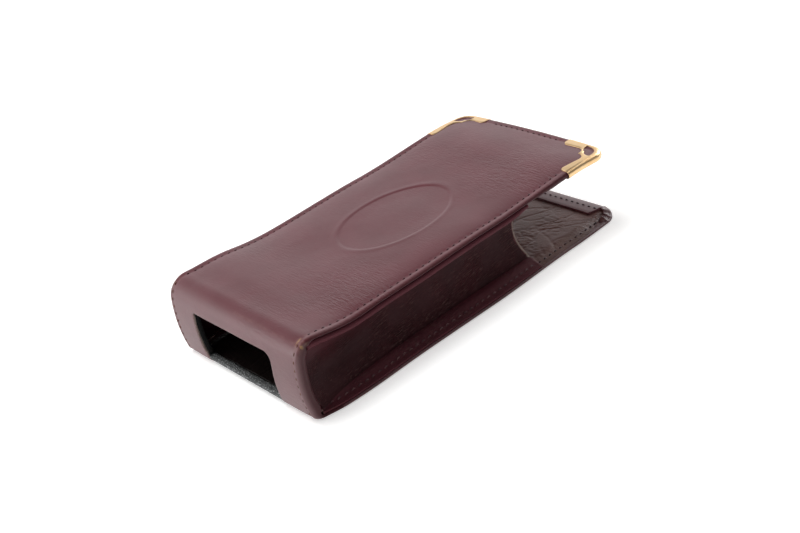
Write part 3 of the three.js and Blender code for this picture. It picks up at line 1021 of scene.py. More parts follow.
@dataclass(frozen=True)
class Stitch:
    """One stitch of thread: a short bead whose ends dive into the leather."""

    length: float = 1.6
    radius: float = 0.24
    rise: float = 0.12
    dive: float = 0.42
    slant: float = math.radians(7)
    fullness: float = 1.02
    taper: float = 0.75
    rings: int = 7
    sides: int = 6

    def row(self, name: str, middles: Array, ways: Array, outs: Array, material: Material) -> Object:
        """Sews a row. Along a stitch the bead's middle follows a parabola from under the face, over it and
        back, and its radius falls off as a half ellipse towards the ends.

        Args:
            name: Name of the piece.
            middles: Middles of the stitches on the face, one row each.
            ways: Unit vectors along the seam.
            outs: Unit vectors out of the face.
            material: The thread.

        Returns:
            The row of stitches as one piece.
        """
        sideways = np.cross(outs, ways)
        ways = ways * math.cos(self.slant) + sideways * math.sin(self.slant)
        sideways = np.cross(outs, ways)
        place = np.linspace(-1, 1, self.rings)
        turn = np.arange(self.sides) / self.sides * math.tau
        radius = self.radius * np.sqrt(self.fullness - self.taper * place ** 2)
        height = self.rise - self.dive * place ** 2
        forward = (place * self.length / 2)[:, None] + 0 * turn
        side = radius[:, None] * np.cos(turn)
        up = height[:, None] + radius[:, None] * np.sin(turn)
        points = middles[:, None, None] + sum(
            amount[None, ..., None] * axis[:, None, None]
            for amount, axis in ((forward, ways), (side, sideways), (up, outs))
        )
        number = np.arange(self.rings * self.sides).reshape(self.rings, self.sides)
        after = np.roll(number, -1, axis=1)
        tube = np.stack([number[:-1], after[:-1], after[1:], number[1:]], -1).reshape(-1, 4)
        # Two quads close the hexagon at each end
        first, last = number[0], number[-1]
        ends = [first[[3, 2, 1, 0]], first[[5, 4, 3, 0]], last[[0, 1, 2, 3]], last[[0, 3, 4, 5]]]
        one = np.concatenate([tube, ends])[:, ::-1]
        steps = np.arange(len(middles)) * self.rings * self.sides
        quads = (steps[:, None, None] + one).reshape(-1, 4)
        return add_object(mesh_from(name, points.reshape(-1, 3), quads), material)


def seam_places(start: float, stop: float, pitch: float) -> Array:
    """Middles of stitches between two ends of a seam, a pitch apart."""
    return start + pitch * (np.arange(int((stop - start) / pitch)) + 0.5)


# Front panel and end wall

@dataclass(frozen=True)
class Patch:
    """A creased patch: its middle, how far it spreads across and along, and how creased it is."""

    x: float
    y: float
    across: float
    along: float
    amount: float


@dataclass(frozen=True)
class Rub:
    """A rubbed spot by the nick: how bare it is, its place past the nick and its length, and its place and
    width on the rolled edge or from the seam."""

    amount: float
    past_nick: float
    length: float
    place: float
    width: float

    def at(self, past_nick: Array, across: Array) -> Array:
        """How bare the leather is at places along and across the edge."""
        along = self.amount * bump(past_nick, self.past_nick, self.length)
        return along * bump(across, self.place, self.width)


@dataclass(frozen=True)
class Oval:
    """The oval pressed into the front: a bank all round, a shallow dish inside it and a faint rim outside."""

    x: float = 0.8
    y: float = -1.0
    half_length: float = 21.1
    half_width: float = 14.5
    depth: float = 0.17
    bank: Pair = (-0.5, 0.15)
    dish: float = 0.12
    dish_reach: float = 6.0
    rim: float = 0.07
    rim_width: float = 0.7
    margin: float = 1.0
    fine: float = 0.4

    def rise(self, x: Array, y: Array) -> Array:
        """Rise of the face: smooth steps down by the distance past the ellipse, and a bell outside it.

        Args:
            x: Places across the case.
            y: Places along the case.

        Returns:
            The rise at each place.
        """
        ring = np.hypot((x - self.x) / self.half_width, (y - self.y) / self.half_length)
        beyond = (ring - 1) * self.half_width
        pressed = self.depth * (1 - smoothstep(*self.bank, beyond))
        dished = self.dish * (1 - smoothstep(-self.dish_reach, 0, beyond))
        return self.rim * bump(beyond, self.rim_width, self.rim_width) - pressed - dished


@dataclass
class FrontPanel:
    """The strip of leather over the front, its lip and the windowed end, with its card, lining and seams."""

    case: CaseSizes
    run: FrontRun
    finish: Finishes
    roll: float = 1.1
    fine: float = 0.7
    oval: Oval = Oval()
    window_half: float = 20.0
    window_top: float = 19.4
    window_corners: Pair = (0.7, 3.2)
    window_square: float = 2.5
    window_lean: float = 2.0
    lean_between: Pair = (6.0, 30.0)
    wall_seam_inset: float = 1.7
    wall_seam_change: float = 4.0
    lip_rim_from: Pair = (6.0, -10.0)
    wall_rim_from: Pair = (-1.0, 5.0)
    base_rim_from: Pair = (-3.0, 0.5)
    edge_roll: float = 0.16
    edge_roll_width: float = 0.85
    seam_sink: float = 0.22
    padding: float = 0.75
    thin_padding: float = 0.2
    padding_from: Pair = (4.0, 22.0)
    padding_ends: float = 10.0
    padding_reach: float = 4.5
    puckers: Ripple = Ripple(0.05, 1.7, 11)
    pucker_stretch: float = 0.35
    pucker_reach: float = 2.6
    slow_waves: Ripple = Ripple(0.2, 34.0, 3)
    small_waves: Ripple = Ripple(0.03, 9.0, 4)
    base_fade: float = 2.0
    relief_lap: float = 0.5
    creased: tuple[Patch, ...] = (
        Patch(21, -37, 11, 12, 1.0),
        Patch(17, 38, 17, 13, 0.9),
        Patch(-20, 35, 12, 10, 0.35),
        Patch(-5, -40, 20, 9, 0.3),
    )
    nick: float = 3.4
    pinch: float = 0.5
    pinch_length: float = 0.9
    pinch_lap: float = 0.6
    edge_wear: float = 0.15
    edge_wear_lap: Pair = (0.35, 0.25)
    bend_wear: float = 0.5
    bend_wear_length: float = 3.0
    bend_wear_across: Pair = (3.5, 0.5)
    roll_rubs: tuple[Rub, ...] = (Rub(2.2, -1.4, 1.0, 0.55, 0.22), Rub(2.2, 0.8, 0.5, 0.3, 0.2))
    seam_rub: Rub = Rub(1.6, -0.5, 2.2, 0.0, 0.35)
    # Edge dye on the roll, with painted shade where it turns down away from the light, and painted shade
    # along the right side of the face, where it tilts away from the light
    front_dye_and_shade_lap: Pair = (0.06, 0.2)
    wall_dye_and_shade_lap: Pair = (0.1, 0.5)
    wall_dye_and_shade_change: float = 4.0
    right_side_shade: float = 0.09
    right_side_shade_across: Pair = (10.5, 3.0)
    right_side_shade_cut: float = 0.4
    right_side_shade_cut_across: Pair = (2.8, 1.8)
    right_side_shade_along: Pair = (16.0, 24.0)
    right_side_shade_fade: float = 30.0
    layer_short: float = 0.3
    tuck_past_hem: Pair = (2.8, 1.4)
    lining_tuck: float = 0.65
    lining_step: float = 0.8
    lining_folds: Folds = Folds(0.1, 9.0, 0.12, 21)
    lining_folds_from: Pair = (1.5, 9.0)
    lining_waves: Ripple = Ripple(0.03, 5.0, 23)
    # Painted shade: the lining goes near black along its edges, between the panel's turned edge and the
    # gussets
    lining_edge_shade: float = 2.0
    lining_edge_shade_from: Pair = (4.0, 2.0)
    lining_thickness: float = 0.2
    card_tuck: float = 0.2
    card_inset: float = 1.2
    end_lining_inset: float = 3.2
    end_lining_short: float = 1.2
    end_lining_steps: Pair = (0.8, 0.6)
    end_lining_turn: float = 0.95
    end_lining_thickness: float = 0.45
    end_lining_gap: float = 0.5
    stitch_sink: float = 0.16
    side_seam_start: float = 19.5
    wall_seam_start: float = 3.0
    wall_seam_short: float = 1.0
    tip_seam_half: float = 15.8

    @property
    def sheet(self) -> TurnedSheet:
        """The panel's outline and turned edge."""
        case = self.case
        return TurnedSheet(
            case.half_width, case.tip_corner, roll=self.roll, side_thickness=case.lip_rim,
            tip_thickness=case.panel,
        )

    @property
    def window_top_s(self) -> float:
        """Arc length at which the end wall reaches the window's top edge."""
        strip = self.run.strip
        wall = (strip.s >= self.run.wall_top) & (strip.s <= self.run.base)
        return float(np.interp(-self.window_top, -strip.z[wall], strip.s[wall]))

    @property
    def nick_s(self) -> float:
        """Arc length at which the turned edge is pinched where it goes over the end bend."""
        return self.run.shoulder + self.nick

    def round_window(self, x: Array, s: Array) -> tuple[Array, Array]:
        """Draws the grid in round the window's upper corners: a square ring round a corner's centre becomes
        a round one at the window's edge, and stays square from a few radii out.

        Args:
            x: Places across the strip.
            s: Places along the strip.

        Returns:
            The places drawn in.
        """
        for sign, radius in zip((-1, 1), self.window_corners):
            centre_x = self.window_half - radius
            centre_s = self.window_top_s + radius
            a = (sign * x - centre_x) / radius
            b = (centre_s - s) / radius
            near = (a > 0) & (b > 0)
            larger = np.maximum(np.maximum(a, b), TINY)
            turn = math.pi / 4 * np.where(near, np.minimum(a, b), 0) / larger
            long, short = larger * np.cos(turn), larger * np.sin(turn)
            square = smoothstep(1.0, self.window_square, larger)
            round_a = np.where(a >= b, long, short)
            round_b = np.where(a >= b, short, long)
            x = np.where(near, sign * (centre_x + radius * (round_a + (a - round_a) * square)), x)
            s = np.where(near, centre_s - radius * (round_b + (b - round_b) * square), s)
        return x, s

    def lean_window(self, x: Array, s: Array) -> Array:
        """X after the right side of the window leans in towards its foot, as the worn leather does.

        Args:
            x: Places across the strip.
            s: Arc lengths from the tip.

        Returns:
            X drawn in.
        """
        first, last = self.lean_between
        down = smoothstep(self.window_top_s, self.run.base, s)
        near = smoothstep(first, self.window_half, x) * smoothstep(last, self.window_half + 1, x)
        return x - self.window_lean * down * near

    def seam_at(self, s: Array) -> Array:
        """Distance of the side seam from the edge: it runs closer to the edge down the end wall."""
        shoulder, change = self.run.shoulder, self.wall_seam_change
        closer = smoothstep(shoulder - change, shoulder + change, s)
        return self.case.seam_inset + (self.wall_seam_inset - self.case.seam_inset) * closer

    def rim_at(self, s: Array) -> Array:
        """Thickness of the turned edge: thick on the lip and down the end wall, thin where the gussets lie
        under it and under the base.

        Args:
            s: Arc lengths from the tip.

        Returns:
            Thicknesses.
        """
        case, run = self.case, self.run
        ranges = (self.lip_rim_from, self.wall_rim_from, self.base_rim_from)
        places = (run.flex, run.shoulder, run.base)
        lip, wall, base = (smoothstep(at + a, at + b, s) for at, (a, b) in zip(places, ranges))
        thick = case.front_rim + (case.wall_rim - case.front_rim) * wall
        thick = thick + (case.lip_rim - case.front_rim) * lip
        return thick + (case.rim - thick) * base

    def slack(self, grid: SheetGrid) -> Array:
        """How creased the leather is: most in two patches by the right edge, where the case is gripped.

        Args:
            grid: The laid-out sheet.

        Returns:
            How creased each point is, up to 1.
        """
        y = self.case.front_tip_y - grid.s
        amounts = [
            patch.amount * bump(grid.x, patch.x, patch.across) * bump(y, patch.y, patch.along)
            for patch in self.creased
        ]
        return np.clip(sum(amounts), 0, 1)

    def off_base(self, s: Array) -> Array:
        """1 on the face, falling to 0 under the base, where the leather lies flat."""
        return smoothstep(self.run.base, self.run.base - self.base_fade, s)

    def undulation(self, x: Array, s: Array) -> Array:
        """Slow waves of the soft face, which its seams follow, flat under the base."""
        return (self.slow_waves.at(x, s) + self.small_waves.at(x, s)) * self.off_base(s)

    def relief(self, grid: SheetGrid) -> Array:
        """Rise of the face: a soft roll outside the seam, the seam drawn in stitch by stitch, a padded
        middle, small puckers, the pressed oval and slow waves.

        Args:
            grid: The laid-out sheet.

        Returns:
            The rise at each point.
        """
        case, inset, shoulder = self.case, grid.inset, self.run.shoulder
        seam = self.seam_at(grid.s)
        past_seam = np.maximum(inset - seam, 0)
        rise = self.edge_roll * bump(inset, 0.5 * seam, self.edge_roll_width)
        rise -= self.seam_sink * bump(inset, seam, case.seam_width) * case.pulled(grid.along)
        on_face = smoothstep(*self.padding_from, grid.s)
        on_face = on_face * smoothstep(shoulder, shoulder - self.padding_ends, grid.s)
        padded = self.thin_padding + (self.padding - self.thin_padding) * on_face
        rise += padded * (1 - np.exp(-past_seam / self.padding_reach))
        puckers = self.puckers.at(self.pucker_stretch * inset, grid.along)
        rise += puckers * np.exp(-past_seam / self.pucker_reach) * (inset > seam)
        rise += self.oval.rise(grid.x, case.front_tip_y - grid.s)
        rise += self.undulation(grid.x, grid.s)
        return rise * (1 - smoothstep(0, self.relief_lap, grid.lap)) * self.off_base(grid.s)

    def wear_and_shade(self, grid: SheetGrid) -> Array:
        """How worn the leather is, past 1 where it is rubbed bare: a little along the rolled edge, and most
        where the edge goes over the end bend, on the right side down to bare leather.

        Args:
            grid: The laid-out sheet.

        Returns:
            The wear at each point.
        """
        past_nick = grid.s - self.nick_s
        edge = self.edge_wear * bump(grid.lap, *self.edge_wear_lap) * (grid.lap > 0)
        bend = self.bend_wear * bump(past_nick, 0, self.bend_wear_length)
        bend = bend * smoothstep(*self.bend_wear_across, grid.inset)
        spots = sum(rub.at(past_nick, grid.lap) for rub in self.roll_rubs)
        spots = spots + self.seam_rub.at(past_nick, grid.inset - self.case.seam_inset)
        return edge + bend + spots * (grid.x > 0)

    def dye_and_painted_light(self, grid: SheetGrid) -> Array:
        """How much of the darker edge colour shows: on the roll, edge dyeing with painted shade where the
        roll turns down away from the light, and faintly along the right side, painted shade where the face
        tilts away from the light.

        Args:
            grid: The laid-out sheet.

        Returns:
            The edge dyeing and painted shade at each point, up to 1.
        """
        shoulder = self.run.shoulder
        wall = smoothstep(shoulder, shoulder + self.wall_dye_and_shade_change, grid.s)
        rolled = smoothstep(*self.front_dye_and_shade_lap, grid.lap) * (1 - wall)
        rolled = rolled + smoothstep(*self.wall_dye_and_shade_lap, grid.lap) * wall
        right_shaded = smoothstep(*self.right_side_shade_across, grid.inset)
        right_shaded = right_shaded - self.right_side_shade_cut * smoothstep(*self.right_side_shade_cut_across, grid.inset)
        along = smoothstep(*self.right_side_shade_along, grid.s) * smoothstep(shoulder, shoulder - self.right_side_shade_fade, grid.s)
        return np.maximum(rolled, self.right_side_shade * right_shaded * (grid.x > 0) * along)

    def face_grid(self) -> SheetGrid:
        """Lays the leather out, finer over the oval, with lines along the window's edges.

        Returns:
            The grid.
        """
        case, run, oval = self.case, self.run, self.oval
        face = case.half_width - self.roll
        side = oval.half_width + oval.x + oval.margin
        beside = spaced(-face, -self.window_half, -side, step=self.fine)
        across = np.concatenate([beside, spaced(-side, side, step=oval.fine)[1:-1], -beside[::-1]])
        oval_s, reach = case.front_tip_y - oval.y, oval.half_length + oval.margin
        before, after = oval_s - reach, oval_s + reach
        along = np.concatenate([
            spaced(self.roll, before, step=self.fine),
            spaced(before, after, step=oval.fine)[1:-1],
            spaced(after, run.shoulder, self.window_top_s, run.base, run.end, step=self.fine),
        ])
        return self.sheet.grid(across, along)

    def leather(self) -> None:
        """Builds the turned leather with the window cut out of it."""
        case, run = self.case, self.run
        grid = self.face_grid()
        x, s = self.round_window(grid.x, grid.s)
        x = self.lean_window(x, s)
        pinched = self.pinch * bump(grid.s, self.nick_s, self.pinch_length)
        x = x - np.sign(x) * pinched * smoothstep(0, self.pinch_lap, grid.lap)
        middle = np.abs(grid.x[:-1, :-1] + grid.x[1:, 1:]) / 2
        height = (grid.s[:-1, :-1] + grid.s[1:, 1:]) / 2
        opening = (middle < self.window_half) & (height > self.window_top_s) & (height < run.base)
        opening &= grid.lap[:-1, :-1] == 0
        pared = case.thinner(grid.s, run.flex) * np.clip(grid.lap, 0, 1)
        tip = grid.row < case.tip_corner
        depth = grid.depth * np.where(tip, 1, self.rim_at(grid.s) / case.lip_rim) - pared
        rise = self.relief(grid) + case.bow(grid.x, grid.s)
        points = case.spread_out(replace(grid, x=x, s=s, depth=depth).placed(run.strip, rise))
        marks = {"wear_and_shade": self.wear_and_shade(grid), "slack": self.slack(grid), "dye_and_painted_light": self.dye_and_painted_light(grid)}
        mesh = sheet_mesh("leather_front_and_end", points, True, ~opening, marks)
        piece = add_object(mesh, self.finish.burgundy, self.finish.raw_edge)
        thicken(piece, case.skin, edge=case.cut_edge, cut_material=1)
        bend_with(piece)
        dress(piece, Slot.BURGUNDY, "outer_wrap", "front_lip_leather")

    def layer(self, inset: float, step: float) -> SheetGrid:
        """A plain sheet inside the panel, from the tip to the shoulder, set in from its outline."""
        sheet = TurnedSheet(self.case.half_width, self.case.tip_corner)
        return sheet.plain(inset, self.run.shoulder - self.layer_short, step)

    def under_hem(self, s: Array) -> Array:
        """1 where the tip's hem lies over the layers inside the panel, 0 past its edge."""
        begins, full = self.tuck_past_hem
        return smoothstep(self.sheet.hem + begins, self.sheet.hem + full, s)

    def lining(self) -> None:
        """Builds the creased lining under the front panel, tucked in under the hem at the tip."""
        case = self.case
        grid = self.layer(case.lining_inset, self.lining_step)
        folds = self.lining_folds.at(grid.x, grid.s) * smoothstep(*self.lining_folds_from, grid.inset)
        sunk = folds + self.lining_waves.at(grid.x, grid.s)
        lift = case.edge_lift(case.half_width - np.abs(grid.x), grid.s - self.run.flex)
        depth = case.panel - case.thinner(grid.s, self.run.flex) - lift
        depth = depth - self.lining_tuck * self.under_hem(grid.s)
        rise = np.maximum(sunk, 0) + case.bow(grid.x, grid.s)
        # Painted shade through the mark for wear: near black along the lining's edges, between the panel's
        # turned edge and the gussets
        dark = {"wear_and_shade": self.lining_edge_shade * smoothstep(*self.lining_edge_shade_from, grid.inset)}
        points = replace(grid, depth=depth).placed(self.run.strip, rise)
        piece = add_object(sheet_mesh("lining_front", points, marks=dark), self.finish.lining)
        thicken(piece, self.lining_thickness)
        bend_with(piece)
        dress(piece, Slot.LINING, "front_lining", "front_lip_lining")

    def card(self) -> None:
        """Builds the stiffener inside the front panel."""
        case = self.case
        grid = self.layer(self.card_inset, case.card_step)
        depth = grid.depth + case.card_depth - self.card_tuck * self.under_hem(grid.s)
        points = replace(grid, depth=depth).placed(self.run.strip, case.bow(grid.x, grid.s))
        piece = add_object(sheet_mesh("card_front", points, True), self.finish.board)
        thicken(piece, case.card)
        bend_with(piece)
        dress(piece, Slot.BOARD, "front_board", "front_lip_board")

    def end_lining(self) -> None:
        """Builds the black lining of the end wall, which comes forward to the leather round the window."""
        run, case = self.run, self.case
        face = case.half_width - self.end_lining_inset
        step_across, step_along = self.end_lining_steps
        across = spaced(-face, -self.window_half, self.window_half, face, step=step_across)
        along = spaced(run.shoulder, self.window_top_s, run.base - self.end_lining_short, step=step_along)
        x, s = np.meshgrid(across, along)
        middle = np.abs(x[:-1, :-1] + x[1:, 1:]) / 2
        opening = (middle < self.window_half) & ((s[:-1, :-1] + s[1:, 1:]) / 2 > self.window_top_s)
        beside = np.maximum(np.abs(x) - self.window_half, self.window_top_s - s)
        forward = 1 - smoothstep(0, self.end_lining_turn, beside)
        x, s = self.round_window(x, s)
        x = self.lean_window(x, s)
        y, z = run.strip.at(s, case.panel - (case.panel - case.skin - self.end_lining_gap) * forward)
        mesh = sheet_mesh("lining_end", np.stack([x, y, z], -1), False, ~opening)
        piece = add_object(mesh, self.finish.black)
        thicken(piece, self.end_lining_thickness)
        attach(piece, Body.CASE.value)
        dress(piece, Slot.BLACK, "end_lining")

    def stitches(self, name: str, x: Array, s: Array, along_x: bool, material: Material) -> Object:
        """Sews a row on the face, sunk a little into it.

        Args:
            name: Name of the piece.
            x: Places of the stitches across the strip.
            s: Places of the stitches along the strip.
            along_x: Whether the row runs across the case, and not along it.
            material: The thread.

        Returns:
            The row, not yet riding on a body.
        """
        strip = self.run.strip
        y, z = strip.at(s, self.stitch_sink - self.case.bow(x, s) - self.undulation(x, s))
        outs = strip.way_out(s)
        ways = np.stack([np.zeros_like(s), outs[:, 2], -outs[:, 1]], -1)
        if along_x:
            ways = np.tile([1.0, 0, 0], (len(x), 1))
        return Stitch().row(name, np.stack([x, y, z], -1), ways, outs, material)

    def side_places(self, side: Side, start: float, stop: float) -> tuple[Array, Array]:
        """X and arc length of the stitches along one side between two arc lengths."""
        pitch = self.case.stitch_pitch
        s = pitch * (np.arange(math.ceil(start / pitch), int(stop / pitch)) + 0.5)
        return side.value * (self.case.half_width - self.seam_at(s)), s

    def sewing(self) -> None:
        """Sews both sides of the front and of the end wall, and the tip between the metal corners."""
        case, run, finish = self.case, self.run, self.finish
        turn = run.shoulder + self.wall_seam_start
        for side in Side:
            word = side.name.lower()
            x, s = self.side_places(side, self.side_seam_start, turn)
            front = self.stitches(f"thread_front_{word}", x, s, False, finish.thread)
            bend_with(front)
            dress(front, Slot.BURGUNDY)
            x, s = self.side_places(side, turn, run.base - self.wall_seam_short)
            wall = self.stitches(f"thread_end_{word}", x, s, False, finish.russet_thread)
            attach(wall, Body.CASE.value)
            dress(wall, Slot.BURGUNDY)
        x = seam_places(-self.tip_seam_half, self.tip_seam_half, case.stitch_pitch)
        tip = self.stitches("thread_front_tip", x, np.full_like(x, case.seam_inset), True, finish.thread)
        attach(tip, Body.FRONT_LIP.value)
        dress(tip, Slot.BURGUNDY)

    def build(self) -> None:
        """Builds and dresses the whole panel."""
        self.leather()
        self.lining()
        self.card()
        self.end_lining()
        self.sewing()


# Back panel

@dataclass
class BackPanel:
    """The strip of leather under the case and its lip, with its card, its creased lining and its hem."""

    case: CaseSizes
    finish: Finishes
    roll: float = 1.1
    fine: float = 0.7
    edge_columns: float = 3.5
    corner: float = 6.3
    seam_sink: float = 0.3
    pleat: float = 0.4
    pleats_round: float = 13.0
    pleat_lap: Pair = (0.5, 1.1)
    hem: float = 6.4
    hem_drop: float = 0.35
    hem_drop_from: Pair = (16.0, 8.0)
    hem_half: float = 25.6
    hem_mitre: float = 1.2
    hem_lap: Pair = (1.0, 1.2)
    hem_clear: float = 0.1
    hem_seam: float = 3.9
    hem_seam_half: float = 27.0
    hem_sink: float = 0.5
    hem_sink_from: Pair = (3.0, 1.0)
    # Edge dye on the rolled sides, with painted shade where they turn down away from the light; the hem stays
    # clear of both
    hem_clear_of_dye_and_shade: Pair = (3.0, 2.0)
    edge_dye_and_shade: float = 0.5
    edge_dye_and_shade_lap: Pair = (0.3, 0.5)
    lining_step: float = 0.43
    lining_thickness: float = 0.45
    lining_from: Pair = (6.0, 10.0)
    lining_in_from: Pair = (2.0, 5.0)
    long_folds: Folds = Folds(0.18, 20.0, 0.03, 31)
    long_slant: float = 0.4
    fine_folds: Folds = Folds(0.15, 4.6, 0.09, 37)
    fine_slant: float = 0.3
    fine_squeeze: float = 1.3
    loose: Ripple = Ripple(1.0, 14.0, 35)
    loose_between: Pair = (-0.15, 0.1)
    lining_waves: Ripple = Ripple(0.07, 8.0, 33)
    narrower: float = 0.14
    narrow_past_flex: Pair = (-1.0, -5.0)
    # Painted shade: the lining goes near black inside the case, past the flex line, where little light
    # reaches
    shade_inside: float = 3.0
    shade_past_flex: Pair = (4.0, -25.0)
    card_inset: float = 6.0
    side_seam_ends: Pair = (4.0, 5.5)
    under_stitch_z: float = 0.37
    lip_stitch_sink: float = 0.02
    hem_stitch_sink: float = 0.05

    @property
    def sheet(self) -> TurnedSheet:
        """The panel's outline and turned edge."""
        case = self.case
        return TurnedSheet(
            case.half_width, self.corner, roll=self.roll, side_thickness=case.rim,
            tip_thickness=case.hem_bottom - self.hem_sink, hem=self.hem, hem_half=self.hem_half,
            mitre=self.hem_mitre,
        )

    def leather(self) -> None:
        """Builds the turned leather; its face is flat on the table apart from the seam, and the hem's edge is
        gathered into small pleats round the corners."""
        case = self.case
        face = case.half_width - self.roll
        inner = face - self.edge_columns
        along = spaced(self.roll, case.back_tip_y - case.split_y, step=self.fine)
        grid = self.sheet.grid(spaced(-face, -inner, inner, face, step=self.fine), along)
        width = np.abs(grid.x)
        sunk = self.seam_sink * bump(grid.inset, case.seam_inset, case.seam_width) * case.pulled(grid.along)
        corner = (width > case.half_width - self.corner) & (grid.s < self.corner)
        bearing = np.arctan2(self.corner - grid.s, width - case.half_width + self.corner)
        pleats = self.pleat * np.maximum(0, np.cos(self.pleats_round * bearing))
        pleats = pleats * smoothstep(*self.pleat_lap, grid.lap) * corner
        on_hem = smoothstep(*self.hem_lap, grid.lap) * (grid.s < self.hem + self.roll + self.hem_clear)
        sinks = self.hem_sink * smoothstep(*self.hem_sink_from, grid.s)
        level = case.hem_bottom - case.edge_dip(case.half_width - width) - sinks
        lifted = np.maximum(level - grid.depth, 0) * on_hem
        laid = replace(grid, depth=grid.depth + pleats + lifted)
        points = laid.placed(back_strip(case, case.split_y), -sunk * (grid.lap == 0))
        # The rolled sides take edge dye and painted shade, except round the hem
        past_half, past_corner = self.hem_clear_of_dye_and_shade
        hem = (width < self.hem_half + past_half) & (grid.s < self.corner + past_corner)
        marks = {"dye_and_painted_light": self.edge_dye_and_shade * smoothstep(*self.edge_dye_and_shade_lap, grid.lap) * ~hem}
        mesh = sheet_mesh("leather_back", case.spread_out(points), False, None, marks)
        piece = add_object(mesh, self.finish.burgundy)
        thicken(piece, case.skin, edge=case.cut_edge)
        bend_with(piece)
        dress(piece, Slot.BURGUNDY, "back_lip_leather")

    def layer(self, inset: float, step: float) -> SheetGrid:
        """A plain sheet inside the panel, from the tip to the end wall, set in from its outline."""
        sheet = TurnedSheet(self.case.half_width, self.corner)
        return sheet.plain(inset, self.case.back_tip_y - self.case.bottom_bend_y, step)

    def lining(self) -> None:
        """Builds the creased lining, which ends short of the flanges inside the case: long folds and fine
        ones that wander across the lip and die out under the hem."""
        case = self.case
        grid = self.layer(case.lining_inset, self.lining_step)
        shown = smoothstep(*self.lining_from, grid.s) * smoothstep(*self.lining_in_from, grid.inset)
        folds = self.long_folds.at(grid.x, grid.s + self.long_slant * grid.x)
        loose = smoothstep(*self.loose_between, self.loose.at(grid.x, grid.s))
        fine = self.fine_folds.at(grid.x + self.fine_slant * grid.s, self.fine_squeeze * grid.s) * loose
        rise = (folds + fine + self.lining_waves.at(grid.x, grid.s)) * shown
        dip = case.edge_dip(case.half_width - np.abs(grid.x))
        dip = dip + self.hem_drop * smoothstep(*self.hem_drop_from, grid.s)
        laid = replace(grid, depth=grid.depth + case.panel - dip)
        points = laid.placed(back_strip(case, case.end_y), np.maximum(rise, 0))
        from_flex = points[..., 1] - case.flex_y
        points[..., 0] *= 1 - self.narrower * smoothstep(*self.narrow_past_flex, from_flex)
        # Painted shade through the mark for wear: near black inside the case, where little light reaches
        dark = {"wear_and_shade": self.shade_inside * smoothstep(*self.shade_past_flex, from_flex)}
        mesh = sheet_mesh("lining_back", case.spread_out(points), True, None, dark)
        piece = add_object(mesh, self.finish.lining)
        thicken(piece, self.lining_thickness)
        bend_with(piece)
        dress(piece, Slot.LINING, "back_lining", "back_lip_lining")

    def card(self) -> None:
        """Builds the stiffener inside the back panel, which stops short of the seams."""
        case = self.case
        grid = self.layer(self.card_inset, case.card_step)
        laid = replace(grid, depth=grid.depth + case.card_depth)
        points = case.spread_out(laid.placed(back_strip(case, case.end_y)))
        piece = add_object(sheet_mesh("card_back", points), self.finish.board)
        thicken(piece, case.card)
        bend_with(piece)
        dress(piece, Slot.BOARD, "back_board", "back_lip_board")

    def row(self, name: str, x: Array, y: Array, z: float, along_x: bool) -> Object:
        """Sews a row on a level face: upwards inside the case, downwards on the leather under it.

        Args:
            name: Name of the piece.
            x: Places of the stitches across the case.
            y: Places of the stitches along the case.
            z: Height of the face.
            along_x: Whether the row runs across the case, and not along it.

        Returns:
            The row, not yet riding on a body.
        """
        outs = np.tile([0, 0, 1.0 if z > self.case.skin else -1.0], (len(x), 1))
        ways = np.tile([1.0, 0, 0] if along_x else [0, 1.0, 0], (len(x), 1))
        middles = self.case.spread_out(np.stack([x, y, np.full_like(x, z)], -1))
        return Stitch().row(name, middles, ways, outs, self.finish.thread)

    def sewing(self) -> None:
        """Sews the sides, inside and under the case, and the hem."""
        case = self.case
        from_end, from_tip = self.side_seam_ends
        whole = seam_places(case.end_y + from_end, case.back_tip_y - from_tip, case.stitch_pitch)
        top = case.panel - float(case.edge_dip(case.seam_inset)) - self.lip_stitch_sink
        for side in Side:
            word = side.name.lower()
            rows = {
                f"thread_under_{word}": (whole, self.under_stitch_z),
                f"thread_back_lip_{word}": (whole[whole > case.flex_y], top),
            }
            for name, (y, z) in rows.items():
                x = np.full_like(y, side.value * (case.half_width - case.seam_inset))
                thread = self.row(name, x, y, z, False)
                bend_with(thread)
                dress(thread, Slot.BURGUNDY)
        x = seam_places(-self.hem_seam_half, self.hem_seam_half, case.stitch_pitch)
        y = np.full_like(x, case.back_tip_y - self.hem_seam)
        hem = self.row("thread_hem", x, y, case.hem_bottom - self.hem_stitch_sink, True)
        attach(hem, Body.BACK_LIP.value)
        dress(hem, Slot.BURGUNDY)

    def build(self) -> None:
        """Builds and dresses the whole panel."""
        self.leather()
        self.lining()
        self.card()
        self.sewing()


# Gussets

class Zone(IntEnum):
    """Stretches of a gusset's section, from the lower flange's edge up."""

    LOWER_FLANGE = 0
    LOWER_FOLD = 1
    WALL = 2
    UPPER_FOLD = 3
    UPPER_FLANGE = 4
    BEAD = 5


